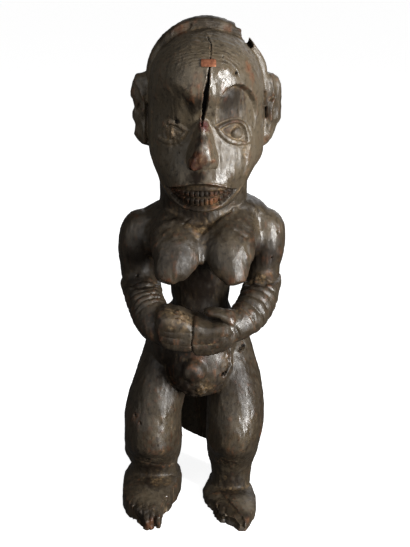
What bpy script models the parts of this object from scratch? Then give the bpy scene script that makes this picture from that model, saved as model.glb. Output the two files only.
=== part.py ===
"""Fang reliquary figure of carved wood, standing, with both hands joined over the belly.

Everything is named in millimetres in the carver's frame: +X is the viewer's right, the figure faces -Y,
and Z is the height above the ground. The last step moves the footprint's middle to the origin.
"""
import math

import bmesh
import bpy
import numpy as np

MM = 0.001

# Overall sizes, from which the forms below are placed
HEAD_X = 1.0
BODY_X = -4.0
HIP_X = -11.5
SIDES = {"left": -1.0, "right": 1.0}
EAR_REACH = {"left": 19.0, "right": 19.5}

# The face, in x and z as it is seen from the front
BROW = {"left": (-29.0, 434.0), "right": (30.0, 434.0)}
BROW_HALF = (20.0, 30.0)
EYE = {"left": (-32.5, 418.0, 16.5, 11.0, 14.0), "right": (27.0, 418.0, 19.5, 13.0, -22.0)}
MOUTH_HALF = 38.0
UPPER_LIP, LOWER_LIP, LIP_CORNER = 375.0, 344.0, 361.0

# The split down the forehead: x, y and z on the surface, and half its width there
CRACK = [(-1.0, -56, 424, 0.2), (-0.7, -59, 432, 1.1), (0.0, -62, 442, 1.9), (1.0, -69, 456, 2.2),
         (2.5, -70, 466, 1.8), (4.0, -66, 479, 1.2), (5.0, -57, 490, 0.9), (4.5, -45, 499, 0.6),
         (4.0, -33, 505, 0.2)]
CRACK_DEEP = 9.0

# The copper strip across the crack, bent like the forehead under it
CLIP_X, CLIP_Y, CLIP_Z = 3.2, -63.8, 484.7
CLIP_LONG, CLIP_HIGH, CLIP_THICK = 14.0, 6.8, 1.6
CLIP_BEND, CLIP_BULGE, CLIP_SLOPE = 52.0, 66.0, 0.55
GAP = 0.3

# The body, hands and feet. A forearm row is x, y, z, half width, half thickness, elbow to wrist
FOREARM = {
    "left": [(-68, 0, 258, 20, 21), (-66, -10, 245, 20.5, 21), (-60, -27, 235, 20.5, 20),
             (-53, -43, 226, 19.5, 19), (-45, -56, 219, 18, 18.5), (-36, -66, 214, 14, 18)],
    "right": [(60, 0, 257, 19.5, 21), (59, -12, 247, 20, 20), (53, -29, 239, 19, 19),
              (45, -45, 232, 18, 18.5), (36, -57, 224, 17, 18.5), (27, -66, 217, 14, 18)],
}
HAIRLINE_Z = 358.0
THROAT = [(-52, 312), (-44, 320), (-29, 325), (-18, 321), (-2, 310), (8, 319), (17, 325), (25, 329),
          (29, 333)]
RINGS_FROM, RINGS_TO, RING_PITCH, RING_HIGH = 8.0, 74.0, 10.5, 1.3
FINGER_GROOVES = [227.0, 219.5, 211.5, 203.5]
FINGER_ENDS_X = -12.0
HAND_BOXY = 0.8
NAVEL_X = -7.5
TOE_GAPS = [-12.0, -4.0, 4.0, 12.0]
FOOT_X = {"left": -57.0, "right": 27.0}
FOOT_LEAN = {"left": 0.10, "right": -0.14}

# How far the carving stands out or goes in
SOCKET_DEEP, LID_HIGH, BALL_HIGH, BALL_DEEP = 4.5, 2.6, 1.8, 1.5
MOUTH_DEEP, TEETH_HIGH, LIP_HIGH = 3.2, 1.6, 1.2
THROAT_EDGE_HIGH, THROAT_DEEP = 2.0, 2.5
SPINE_DEEP, CLEFT_DEEP, HAIRLINE_DEEP = 3.0, 5.0, 2.0
FINGER_GAP_DEEP, MEETING_DEEP, TOE_GAP_DEEP = 1.6, 3.0, 1.6

# Fineness of the solid
VOXEL = 1.4
SMOOTH_PASSES = 5
SMOOTH_FACTOR = 0.5
FIGURE_TRIANGLES = 8200
RING_POINTS = 44
STEPS = 7
CLIP_SECTIONS = 9
THINNEST = 0.5

# The block below the ground that cuts the soles flat
GROUND_HALF, GROUND_DEEP = 200.0, 100.0

# Colours of the two materials
WOOD_COLOUR = (0.045, 0.032, 0.024, 1.0)
COPPER_COLOUR = (0.55, 0.20, 0.10, 1.0)


def clear_scene():
    for thing in list(bpy.data.objects):
        bpy.data.objects.remove(thing, do_unlink=True)


def material(name, colour, roughness, metallic):
    made = bpy.data.materials.new(name)
    made.use_nodes = True
    shader = made.node_tree.nodes["Principled BSDF"]
    shader.inputs["Base Color"].default_value = colour
    shader.inputs["Roughness"].default_value = roughness
    shader.inputs["Metallic"].default_value = metallic
    return made


def between(rows):
    """A smooth curve through the rows: a Catmull-Rom spline, STEPS points from one row to the next."""
    rows = np.array(rows, float)
    padded = np.vstack([2 * rows[0] - rows[1], rows, 2 * rows[-1] - rows[-2]])
    smooth = []
    for start in range(1, len(padded) - 2):
        a, b, c, d = padded[start - 1:start + 3]
        for step in range(STEPS):
            t = step / STEPS
            smooth.append(0.5 * (2 * b + (c - a) * t + (2 * a - 5 * b + 4 * c - d) * t ** 2
                                 + (3 * b - a - 3 * c + d) * t ** 3))
    smooth.append(rows[-1])
    return np.array(smooth)


def ring(centre, side_axis, front_axis, side, front, back, boxy=1.0):
    """One closed section: an oval with its own depths to front and back. Boxy below 1 squares it."""
    turn = np.linspace(0.0, 2.0 * math.pi, RING_POINTS, endpoint=False)
    swing = np.sign(np.cos(turn)) * np.abs(np.cos(turn)) ** boxy
    reach = np.sign(np.sin(turn)) * np.abs(np.sin(turn)) ** boxy
    depth = np.where(reach > 0.0, front, back) * reach
    return centre + np.outer(side * swing, side_axis) + np.outer(depth, front_axis)


def skin(rings):
    """The closed surface through the rings, with a fan of triangles at both ends."""
    count, around = len(rings), len(rings[0])
    points = np.vstack(rings + [rings[0].mean(axis=0)[None], rings[-1].mean(axis=0)[None]])
    faces = []
    for here in range(around):
        after = (here + 1) % around
        last = (count - 1) * around
        faces.append((here, count * around, after))
        faces.append((last + here, last + after, count * around + 1))
        for row in range(count - 1):
            low, high = row * around, (row + 1) * around
            faces.append((low + here, low + after, high + after, high + here))
    return points, faces


def upright(rows, boxy=1.0):
    """A mass of level sections. A row is x, y, z, half width, front depth, back depth."""
    x_axis, front_axis = np.array([1.0, 0.0, 0.0]), np.array([0.0, -1.0, 0.0])
    return skin([ring(row[:3], x_axis, front_axis, *np.maximum(row[3:6], THINNEST), boxy)
                 for row in between(rows)])


def lengthwise(rows):
    """A mass of sections that face the front. A row is x, y, z, half width, height up, height down."""
    x_axis, up_axis = np.array([1.0, 0.0, 0.0]), np.array([0.0, 0.0, 1.0])
    return skin([ring(row[:3], x_axis, up_axis, *np.maximum(row[3:6], THINNEST)) for row in between(rows)])


def limb(rows):
    """A mass of sections square to its own path. A row is x, y, z, half width, half thickness."""
    rows = between(rows)
    path = rows[:, :3]
    along = np.gradient(path, axis=0)
    along /= np.linalg.norm(along, axis=1)[:, None]
    rings = []
    for row, way in zip(rows, along):
        front_axis = np.cross(way, [1.0, 0.0, 0.0])
        front_axis /= np.linalg.norm(front_axis)
        side_axis = np.cross(front_axis, way)
        half_width, half_thickness = np.maximum(row[3:5], THINNEST)
        rings.append(ring(row[:3], side_axis, front_axis, half_width, half_thickness, half_thickness))
    return skin(rings)


def head():
    """Face and skull in one mass: muzzle, cheeks, eye plane, bulging forehead and crown."""
    x = HEAD_X
    return upright([(x - 2, 0, 331, 16, 26, 26), (x - 2, 0, 336, 30, 55, 30), (x - 2, 0, 343, 40, 66, 36),
                    (x - 2, 0, 352, 45, 71.5, 40), (x - 2, 0, 362, 47.5, 73, 44),
                    (x - 2, 0, 373, 50.5, 70.5, 48), (x - 1, 0, 385, 53.5, 65.5, 52),
                    (x, 0, 398, 56, 61.5, 55), (x, 0, 412, 57.5, 59.5, 57),
                    (x, 0, 428, 58, 60, 59), (x, 0, 442, 58, 64, 60), (x, 0, 457, 57, 70.5, 60),
                    (x, 0, 473, 53.5, 69.5, 57), (x, 0, 487, 47, 61, 50), (x + 1, 0, 498, 37, 47, 40),
                    (x + 1, 0, 506, 24, 29, 26), (x + 1, 0, 510, 7, 9, 8)])


def crest():
    """The raised front edge of the hair, an arch from ear to ear, with a break, a chip and a bored hole."""
    x = HEAD_X + 1
    arch = lengthwise([(x, -7, 460, 55, 53, 56), (x, -4, 460, 59.5, 59, 58), (x, 6, 460, 61, 61, 60),
                       (x, 14, 460, 60, 60, 60), (x, 18, 460, 55, 55, 56)])
    return cut(arch, [rod(x + 38.5, 503.5, 5.0, -12, 24), rod(x + 35.5, 499, 3.6, -12, 24),
                      rod(x + 45, 495.5, 2.8, -12, 8), rod(x - 29, 507, 4.5, -12, -3)])


def hair():
    """The smooth cap behind the crest, down to the nape."""
    x = HEAD_X + 1
    return lengthwise([(x, 2, 460, 54, 53, 70), (x, 14, 460, 57, 56.5, 78), (x, 26, 458, 57.5, 56.5, 86),
                       (x, 40, 454, 55, 53, 90), (x, 52, 449, 46, 46, 86), (x, 60, 443, 32, 33, 70),
                       (x, 65, 439, 13, 14, 32)])


def nape():
    return upright([(HEAD_X, 30, 350, 30, 20, 16), (HEAD_X, 34, 366, 36, 24, 22),
                    (HEAD_X, 34, 392, 42, 30, 26), (HEAD_X, 30, 420, 44, 30, 30)])


def nose():
    return upright([(0, -54, 434, 5, 5, 6), (-0.5, -58, 421, 6.5, 7.5, 8), (-2, -60, 408, 9, 12.5, 8),
                    (-4, -61, 397, 14.5, 19, 8), (-4, -61, 391, 16, 19, 8), (-4, -61, 388, 12, 13, 6)])


def ear(side):
    """A tall shell standing off the side of the head, hollowed at the front inside its rim."""
    sign = SIDES[side]
    edge = HEAD_X + sign * 57.0
    reach = EAR_REACH[side]
    shell = upright([(edge, 8, 468, 4, 5, 5), (edge + sign * 0.30 * reach, 8, 462, 0.50 * reach, 9, 8),
                     (edge + sign * 0.42 * reach, 7, 446, 0.58 * reach, 11, 9),
                     (edge + sign * 0.40 * reach, 6, 425, 0.58 * reach, 11, 9),
                     (edge + sign * 0.20 * reach, 7, 404, 0.50 * reach, 9, 8),
                     (edge - sign * 2.0, 8, 391, 4, 5, 5)])
    bowl = upright([(edge + sign * 0.36 * reach, -4, 460, 1, 4, 2),
                    (edge + sign * 0.42 * reach, -5, 448, 5, 6, 6),
                    (edge + sign * 0.42 * reach, -5, 428, 5.5, 6, 7),
                    (edge + sign * 0.30 * reach, -4, 410, 4, 5, 6),
                    (edge + sign * 0.20 * reach, -4, 400, 1, 4, 2)])
    return cut(shell, [bowl])


def neck():
    return upright([(HEAD_X - 2, 5, 300, 44, 34, 38), (HEAD_X - 2, 5, 322, 43.5, 35, 38),
                    (HEAD_X - 2, 5, 345, 43, 38, 38), (HEAD_X - 2, 5, 372, 42.5, 40, 40)])


def trunk():
    x = BODY_X
    return upright([(x + 3, 6, 336, 40, 26, 32), (x + 2, 6, 329, 55, 29, 36), (x + 1, 5, 319, 70, 32, 41),
                    (x + 1, 3, 304, 72, 36, 43), (x, 3, 284, 56, 36, 42), (x, 2, 266, 40, 32, 38),
                    (x, 0, 250, 31, 28, 34), (x, 0, 236, 27.5, 27, 32), (x - 2, 0, 224, 29, 32, 36),
                    (x - 5, 0, 208, 40, 46, 43), (HIP_X, 0, 190, 50, 58, 49), (HIP_X, 3, 172, 53, 57, 52),
                    (HIP_X, 8, 152, 50, 44, 50), (HIP_X, 12, 136, 42, 26, 42), (HIP_X, 14, 128, 28, 14, 28)])


def breast(side):
    if side == "left":
        return limb([(-24, -14, 316, 20, 20), (-26.5, -32, 304, 26, 21), (-29.5, -45, 291, 25, 19.5),
                     (-35, -56, 280, 18, 15), (-39.5, -62, 271, 8, 8)])
    return limb([(22, -14, 316, 21, 20), (21.5, -32, 304, 26, 21), (23, -45, 290, 24.5, 19.5),
                 (27, -56, 277, 17, 15), (29.5, -61, 267, 8.5, 8)])


def upper_arm(side):
    if side == "left":
        return limb([(-56, 6, 317, 13, 17), (-65.5, 4, 305, 20.5, 24), (-70, 2, 287, 21, 25),
                     (-69, 1, 268, 20, 23), (-67.5, 0, 250, 20.5, 22)])
    return limb([(54, 6, 321, 13, 17), (62.5, 4, 307, 21, 24), (65.5, 2, 288, 21, 25),
                 (62, 1, 268, 19.5, 23), (60, 0, 250, 19.5, 22)])


def forearm(side):
    return limb(FOREARM[side])


def hand(side):
    """A blunt slab of fingers whose tips meet the other hand's over the belly."""
    if side == "left":
        return upright([(-31, -62, 187, 14, 8, 12), (-31, -65, 194, 19.5, 13, 14),
                        (-31, -67, 209, 21.5, 14.5, 14), (-32, -65, 226, 21.5, 13.5, 12),
                        (-32, -61, 238, 16, 9, 8)], HAND_BOXY)
    return upright([(7, -62, 187, 14, 8, 12), (8, -65, 194, 20.5, 13, 14), (9, -67, 209, 22, 14.5, 14),
                    (11, -65, 226, 21, 13.5, 12), (15, -60, 241, 16, 9, 8)], HAND_BOXY)


def navel():
    """The low belly, drawn forward into a thick navel with a flat end."""
    x = NAVEL_X
    return lengthwise([(x + 7, -34, 183, 27, 20, 22), (x + 4, -54, 180, 20, 15.5, 18),
                       (x + 1, -66, 177, 13.5, 13, 13.5), (x, -74, 176, 11, 11, 11),
                       (x, -80, 176, 10, 10, 10), (x, -82, 176, 5, 5, 5)])


def buttock(side):
    sign = SIDES[side]
    return upright([(HIP_X + sign * 23, 26, 196, 14, 12, 12), (HIP_X + sign * 24, 26, 182, 25, 20, 24),
                    (HIP_X + sign * 26, 24, 164, 28, 24, 33), (HIP_X + sign * 28, 18, 146, 28, 24, 32),
                    (HIP_X + sign * 29, 12, 130, 25, 18, 22)])


def leg(side):
    if side == "left":
        return upright([(-37, 0, 200, 18, 22, 30), (-40, -2, 184, 23, 30, 38), (-43.5, -8, 164, 26.5, 39, 42),
                        (-49, -16, 144, 28.5, 42, 41), (-54, -24, 122, 31, 42, 38),
                        (-57, -26, 104, 32, 41, 34), (-57.5, -25, 88, 31.5, 37, 31),
                        (-57.5, -20, 74, 31, 33, 29), (-57.5, -16, 60, 30.5, 29, 28),
                        (-57.5, -13, 48, 28.5, 26, 27), (-57.5, -11, 40, 26, 23, 25),
                        (-57.5, -10, 30, 28.5, 24, 27), (-58, -10, 14, 30.5, 24, 28),
                        (-58, -10, -6, 30.5, 22, 26)])
    return upright([(16, 0, 204, 18, 22, 30), (20, -2, 188, 24, 30, 38), (24, -8, 168, 27.5, 39, 42),
                    (29, -16, 146, 30, 42, 41), (33, -24, 124, 32, 43, 38), (34, -26, 104, 32.5, 41, 34),
                    (33, -24, 86, 31.5, 37, 31), (31.5, -19, 70, 29.5, 31, 28), (30.5, -16, 54, 26.5, 27, 26),
                    (29.5, -13, 38, 23, 24, 25), (29, -12, 26, 21, 22, 24), (28.5, -12, 14, 24, 24, 25),
                    (28, -12, -6, 25, 22, 24)])


def foot(side):
    if side == "left":
        return lengthwise([(-57, 26, 8, 14, 10, 14), (-57.5, 16, 14, 26, 18, 22), (-58, -6, 18, 31, 18, 26),
                           (-60, -28, 17, 31.5, 18, 26), (-63, -50, 13, 27, 15, 22),
                           (-64, -66, 10, 21, 12, 20),
                           (-61, -79, 8, 15.5, 11, 18), (-55, -88, 6, 11, 9, 16), (-52, -93, 4, 6, 6, 12)])
    return lengthwise([(28, 24, 8, 13, 9, 14), (28, 14, 12, 23, 14, 20), (27.5, -8, 14, 27.5, 15, 22),
                       (27.5, -34, 13, 29.5, 15, 22), (29.5, -54, 11, 27, 13, 20), (33, -70, 8, 21.5, 11, 18),
                       (37, -84, 6, 14, 9, 16), (39.5, -92, 4, 9.5, 8, 14), (40, -96, 3, 4.5, 5, 12)])


def post():
    """The short stub behind the legs, cut from the same block and sawn off on the slant."""
    x = HIP_X
    stub = upright([(x, 30, 160, 30, 20, 22), (x, 36, 130, 27, 18, 22), (x, 40, 100, 25, 16, 18),
                    (x + 1, 42, 76, 24, 13, 15), (x + 2, 43, 56, 22.5, 12, 14), (x + 3, 43, 30, 20, 11, 13)])
    return cut(stub, [prism([(-50, 65), (20, 30), (20, 0), (-50, 0)], 10, 80)])


def rod(x, z, radius, front_y, back_y):
    """A round cutter that runs from front to back."""
    return lengthwise([(x, front_y, z, radius, radius, radius), (x, back_y, z, radius, radius, radius)])


def prism(outline, front_y, back_y):
    """A straight cutter whose outline is given in x and z."""
    return skin([np.array([(x, y, z) for x, z in outline], float) for y in (front_y, back_y)])


def masses():
    """Every mass of the block, as points and faces."""
    made = [head(), crest(), hair(), nape(), nose(), neck(), trunk(), navel(), post()]
    for side in SIDES:
        made += [ear(side), breast(side), upper_arm(side), forearm(side), hand(side),
                 buttock(side), leg(side), foot(side)]
    return made


def object_from(name, mass):
    points, faces = mass
    mesh = bpy.data.meshes.new(name)
    mesh.from_pydata([tuple(point) for point in np.array(points) * MM], [], faces)
    tidy = bmesh.new()
    tidy.from_mesh(mesh)
    bmesh.ops.recalc_face_normals(tidy, faces=tidy.faces)
    tidy.to_mesh(mesh)
    tidy.free()
    thing = bpy.data.objects.new(name, mesh)
    bpy.context.scene.collection.objects.link(thing)
    return thing


def baked(thing):
    """Replace an object's mesh by the one that its modifiers make."""
    graph = bpy.context.evaluated_depsgraph_get()
    mesh = bpy.data.meshes.new_from_object(thing.evaluated_get(graph))
    thing.modifiers.clear()
    thing.data = mesh


def take_away(thing, cutter):
    """Leave the cutter as a hidden guide that a Boolean takes from the object."""
    cutter.hide_render = True
    cutter.display_type = "WIRE"
    modifier = thing.modifiers.new("without " + cutter.name, "BOOLEAN")
    modifier.object = cutter
    modifier.operation = "DIFFERENCE"
    modifier.solver = "EXACT"


def cut(mass, cutters):
    """A mass with notches or hollows taken out of it before the masses are joined."""
    thing = object_from("mass", mass)
    guides = [object_from("cutter", cutter) for cutter in cutters]
    for guide in guides:
        take_away(thing, guide)
    baked(thing)
    points = [np.array(vertex.co) / MM for vertex in thing.data.vertices]
    faces = [tuple(face.vertices) for face in thing.data.polygons]
    for used in [thing] + guides:
        bpy.data.objects.remove(used, do_unlink=True)
    return points, faces


def block():
    """One closed surface round all the masses, softened where they meet."""
    points, faces = [], []
    for mass_points, mass_faces in masses():
        faces += [tuple(index + len(points) for index in face) for face in mass_faces]
        points += list(mass_points)
    thing = object_from("figure", (points, faces))
    remesh = thing.modifiers.new("one skin", "REMESH")
    remesh.mode = "VOXEL"
    remesh.voxel_size = VOXEL * MM
    smooth = thing.modifiers.new("soften", "SMOOTH")
    smooth.factor = SMOOTH_FACTOR
    smooth.iterations = SMOOTH_PASSES
    baked(thing)
    return thing


def step(value, low, high):
    """A smooth rise from 0 at low to 1 at high."""
    t = np.clip((value - low) / (high - low), 0.0, 1.0)
    return t * t * (3.0 - 2.0 * t)


def line(across, up, path, width):
    """1 along a path drawn in two directions, fading over the width to either side."""
    nearest = np.full(len(across), 1e9)
    for (x0, z0), (x1, z1) in zip(path[:-1], path[1:]):
        run_x, run_z = x1 - x0, z1 - z0
        t = np.clip(((across - x0) * run_x + (up - z0) * run_z) / (run_x ** 2 + run_z ** 2), 0.0, 1.0)
        nearest = np.minimum(nearest, np.hypot(across - x0 - t * run_x, up - z0 - t * run_z))
    return np.exp(-(nearest / width) ** 2)


def socket(x, z, side):
    """The hollow under the brow: a sharp arch above, dying out on the cheek."""
    centre_x, centre_z = BROW[side]
    half_x, half_z = BROW_HALF
    reach = np.hypot((x - centre_x) / half_x, (z - centre_z) / half_z)
    return step(-reach, -1.06, -0.82) * step(z, 396.0, 440.0)


def almond(x, z, side):
    """How far each point is from the eye's middle: 1 on the outer edge of the lids."""
    centre_x, centre_z, half_long, half_high, tilt = EYE[side]
    turn = math.radians(tilt)
    along = ((x - centre_x) * math.cos(turn) + (z - centre_z) * math.sin(turn)) / half_long
    over = ((z - centre_z) * math.cos(turn) - (x - centre_x) * math.sin(turn)) / half_high
    return np.abs(over) + np.clip(np.abs(along), 0.0, 2.0) ** 2


def eye(x, z, side):
    """Raised lids round a sunk, domed eyeball."""
    edge = almond(x, z, side)
    lids = LID_HIGH * np.exp(-((edge - 0.92) / 0.15) ** 2)
    ball = BALL_HIGH * step(-edge, -0.62, -0.05) - BALL_DEEP * step(-edge, -0.80, -0.62)
    return lids + ball


def lips(x, z):
    """Where each point lies between the lower lip, 0, and the upper lip, 1, and how far it is sideways."""
    swing = np.clip(np.abs(x - HEAD_X + 2.0) / MOUTH_HALF, 0.0, 1.0) ** 2
    upper = UPPER_LIP + (LIP_CORNER - UPPER_LIP) * swing
    lower = LOWER_LIP + (LIP_CORNER - LOWER_LIP) * swing
    return (z - lower) / np.maximum(upper - lower, 0.5), swing


def mouth(x, z):
    """A long crescent sunk behind raised lips, with two rows of teeth filling it."""
    height, swing = lips(x, z)
    inside = step(height, 0.0, 0.12) * step(-height, -1.0, -0.88) * step(-swing, -1.0, -0.9)
    rim = np.exp(-((height - 1.06) / 0.09) ** 2) + np.exp(-((height + 0.06) / 0.09) ** 2)
    rows = np.exp(-((height - 0.29) / 0.16) ** 2) + np.exp(-((height - 0.71) / 0.16) ** 2)
    return inside * (TEETH_HIGH * rows - MOUTH_DEEP) + LIP_HIGH * rim * step(-swing, -1.0, -0.85)


def face_relief(x, y, z):
    forward = step(-y, 14.0, 26.0) * step(z, 325.0, 335.0)
    sunk = sum(socket(x, z, side) for side in SIDES)
    eyes = sum(eye(x, z, side) for side in SIDES)
    return forward * (eyes + mouth(x, z) - SOCKET_DEEP * sunk)


def throat_relief(x, y, z):
    """The edge where the breast plate starts, and the hollow above it."""
    forward = step(-y, 8.0, 20.0) * step(-z, -340.0, -334.0)
    edge = np.interp(x, [point[0] for point in THROAT], [point[1] for point in THROAT])
    above = step(z - edge, 1.0, 5.0) * step(-np.abs(x), -46.0, -30.0)
    return forward * (THROAT_EDGE_HIGH * line(x, z, THROAT, 2.6) - THROAT_DEEP * above)


def back_relief(x, y, z):
    """The groove of the spine and the cleft of the buttocks, on the plain back."""
    behind = step(y, 14.0, 26.0)
    spine_x = np.interp(z, [200.0, 310.0], [HIP_X + 1.0, HEAD_X])
    spine = np.exp(-((x - spine_x) / 5.0) ** 2) * step(z, 188.0, 210.0) * step(-z, -322.0, -300.0)
    cleft = np.exp(-((x - HIP_X) / 3.0) ** 2) * step(z, 140.0, 150.0) * step(-z, -190.0, -176.0)
    hairline = np.exp(-((z - HAIRLINE_Z) / 3.0) ** 2) * step(-np.abs(x), -60.0, -44.0)
    return -behind * (SPINE_DEEP * spine + CLEFT_DEEP * cleft + HAIRLINE_DEEP * hairline)


def arm_rings(points, side):
    """Raised rings round the forearm, square to its path."""
    path = between(FOREARM[side])[:, :3]
    length = np.concatenate([[0.0], np.cumsum(np.linalg.norm(np.diff(path, axis=0), axis=1))])
    gap = np.linalg.norm(points[:, None, :] - path[None, :, :], axis=2)
    nearest = np.clip(gap.argmin(axis=1), 1, len(path) - 2)
    way = path[nearest + 1] - path[nearest - 1]
    way /= np.linalg.norm(way, axis=1)[:, None]
    along = length[nearest] + np.einsum("ij,ij->i", points - path[nearest], way)
    close = step(-gap.min(axis=1), -27.0, -24.0)
    span = step(along, RINGS_FROM - 4.0, RINGS_FROM) * step(-along, -RINGS_TO, 4.0 - RINGS_TO)
    return close * span * RING_HIGH * np.cos(2.0 * math.pi * (along - RINGS_FROM) / RING_PITCH)


def finger_grooves(x, y, z):
    """The gaps between the fingers, and the line where the two hands meet."""
    forward = step(-y, 62.0, 72.0) * step(z, 186.0, 192.0) * step(-z, -246.0, -240.0)
    reach = step(-np.abs(x - FINGER_ENDS_X), -30.0, -22.0)
    gaps = sum(np.exp(-((z - level) / 1.5) ** 2) for level in FINGER_GROOVES)
    meeting = np.exp(-((x - FINGER_ENDS_X) / 1.8) ** 2)
    return -forward * (FINGER_GAP_DEEP * reach * gaps + MEETING_DEEP * meeting)


def toe_gaps(x, y, z, side):
    """Notches between the toes, fanned across the front of the foot."""
    spread = (x - FOOT_X[side] - FOOT_LEAN[side] * (y + 60.0)) / np.clip((y + 112.0) / 30.0, 0.3, 2.0)
    low = step(-y, 62.0, 74.0) * step(-z, -22.0, -12.0)
    return -TOE_GAP_DEEP * low * sum(np.exp(-((spread - at) / 1.6) ** 2) for at in TOE_GAPS)


def carve(thing):
    """Move the surface in and out by the depth of the carving."""
    mesh = thing.data
    flat = np.empty(len(mesh.vertices) * 3)
    mesh.vertices.foreach_get("co", flat)
    points = flat.reshape(-1, 3) / MM
    mesh.vertices.foreach_get("normal", flat)
    normals = flat.reshape(-1, 3).copy()
    x, y, z = points.T
    height = face_relief(x, y, z) + throat_relief(x, y, z) + finger_grooves(x, y, z) + back_relief(x, y, z)
    for side in SIDES:
        arm = (z > 180.0) & (z < 300.0) & (x * SIDES[side] > 10.0)
        height[arm] += arm_rings(points[arm], side)
        toes = (z < 30.0) & (x * SIDES[side] > HIP_X * SIDES[side])
        height[toes] += toe_gaps(x[toes], y[toes], z[toes], side)
    mesh.vertices.foreach_set("co", ((points + normals * height[:, None]) * MM).ravel())
    mesh.update()


def crack():
    """The long split down the forehead, widest above the nose."""
    corners = np.array([[-1.0, 0.0], [0.0, -1.0], [1.0, 0.0], [0.0, 1.0]])
    rings = []
    for x, y, z, half in CRACK:
        reach = CRACK_DEEP * corners[:, 1]
        rings.append(np.column_stack([x + half * corners[:, 0], y + reach, np.full(4, z)]))
    return skin(rings)


def clip(spread):
    """The bent copper strip across the crack, or with some spread the bed that it lies in."""
    half_high = CLIP_HIGH / 2.0 + spread
    rings = []
    for x in np.linspace(-CLIP_LONG / 2.0 - spread, CLIP_LONG / 2.0 + spread, CLIP_SECTIONS):
        bend = CLIP_BULGE * (1.0 - np.sqrt(1.0 - (x / CLIP_BEND) ** 2))
        inner = np.array([CLIP_X + x, CLIP_Y + bend + spread, CLIP_Z])
        outer = inner - np.array([0.0, CLIP_THICK + 2.0 * spread, 0.0])
        rise = np.array([0.0, half_high * CLIP_SLOPE, half_high])
        rings.append(np.array([outer - rise, outer + rise, inner + rise, inner - rise]))
    return skin(rings)


def ground():
    """Everything below the soles."""
    left, right, low = -GROUND_HALF, GROUND_HALF, -GROUND_DEEP
    return prism([(left, 0.0), (right, 0.0), (right, low), (left, low)], left, right)


def centre(things):
    """Hang everything on one empty, and move that so that the origin is under the middle of the box."""
    middle = bpy.data.objects.new("footprint_middle", None)
    bpy.context.scene.collection.objects.link(middle)
    for thing in things:
        thing.parent = middle
    solid = bpy.data.objects["figure"].evaluated_get(bpy.context.evaluated_depsgraph_get())
    corners = np.array([corner[:] for corner in solid.bound_box])
    centre_x, centre_y, _ = (corners.min(axis=0) + corners.max(axis=0)) / 2.0
    middle.location = (-centre_x, -centre_y, 0.0)


def build():
    clear_scene()
    figure = block()
    carve(figure)
    figure.data.materials.append(material("dark_wood", WOOD_COLOUR, 0.35, 0.0))
    figure.data.shade_smooth()
    thin = figure.modifiers.new("fewer faces", "DECIMATE")
    thin.ratio = FIGURE_TRIANGLES / (2.0 * len(figure.data.polygons))
    guides = [object_from("crack_guide", crack()), object_from("clip_bed", clip(GAP)),
              object_from("ground_guide", ground())]
    for guide in guides:
        take_away(figure, guide)
    strip = object_from("forehead_clip", clip(0.0))
    strip.data.materials.append(material("copper", COPPER_COLOUR, 0.4, 1.0))
    centre([figure, strip] + guides)


build()
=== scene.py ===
"""The dressed Fang reliquary figure: carved, handled, dusty dark wood, with a copper strip on the forehead.

Forms are named in millimetres in the carver's frame: +X is the viewer's right, the figure faces -Y, and Z is
the height above the ground. The finished figure is moved so that its strip lies where the frame's strip is.
"""
import math

import bmesh
import bpy
import numpy as np
from mathutils import Matrix, Vector


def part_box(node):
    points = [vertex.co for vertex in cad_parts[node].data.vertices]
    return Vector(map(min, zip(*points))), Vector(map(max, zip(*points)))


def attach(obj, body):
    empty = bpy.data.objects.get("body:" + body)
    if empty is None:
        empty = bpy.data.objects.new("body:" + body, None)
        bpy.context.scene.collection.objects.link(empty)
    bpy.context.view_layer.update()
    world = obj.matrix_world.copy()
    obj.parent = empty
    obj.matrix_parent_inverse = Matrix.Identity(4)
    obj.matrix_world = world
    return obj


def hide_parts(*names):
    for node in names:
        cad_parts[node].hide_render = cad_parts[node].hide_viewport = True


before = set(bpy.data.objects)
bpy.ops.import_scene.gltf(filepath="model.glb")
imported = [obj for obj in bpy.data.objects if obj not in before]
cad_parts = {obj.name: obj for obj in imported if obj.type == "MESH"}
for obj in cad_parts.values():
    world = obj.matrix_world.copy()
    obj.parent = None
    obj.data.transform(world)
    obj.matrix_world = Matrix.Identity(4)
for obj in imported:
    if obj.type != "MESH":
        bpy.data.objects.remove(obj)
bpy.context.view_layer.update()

MM = 0.001

# Overall sizes, from which the forms below are placed
HEAD_X = 1.0
BODY_X = -4.0
HIP_X = -11.5
SIDES = {"left": -1.0, "right": 1.0}

# Ears seen from the front: x and z round the broken rim, the ridge down each and the cuts beside the head
EAR_RIM = {
    "left": [(-54, 468), (-60.5, 466.5), (-68.6, 464.6), (-71.7, 458.7), (-74.4, 450.7), (-75.1, 442.8),
             (-73.2, 440.3), (-71.0, 432.8), (-73.0, 427.7), (-73.5, 420.7), (-70.4, 414.6), (-72.3, 404.4),
             (-68.2, 398.2), (-64.2, 394.6), (-54, 392)],
    "right": [(55, 467), (61.5, 467.0), (68.2, 465.8), (73.6, 461.6), (76.6, 455.2), (77.6, 446.8),
              (77.4, 433.8), (77.2, 421.0), (73.2, 415.1), (71.0, 408.4), (68.4, 401.3), (63.6, 395.1),
              (54, 391)],
}
EAR_MIDDLE_Z = 430.0
EAR_LAYERS = [(-6, 0.30, 0.78), (-3, 0.55, 0.90), (2, 0.93, 0.99), (6, 1.0, 1.0), (12, 0.97, 0.98),
              (17, 0.6, 0.8)]
EAR_RIDGE = {
    "left": [(-69.4, 460.3), (-66.1, 454.4), (-63.3, 448.5), (-60.5, 439.7), (-60.1, 433.7), (-62.8, 426.7),
             (-64.9, 421.7), (-62.0, 416.7), (-60.7, 410.7), (-60.9, 397.5)],
    "right": [(65.5, 463.0), (67.0, 452.0), (68.5, 440.0), (65.6, 429.1), (64.8, 415.0), (63.3, 400.9)],
}
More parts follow.
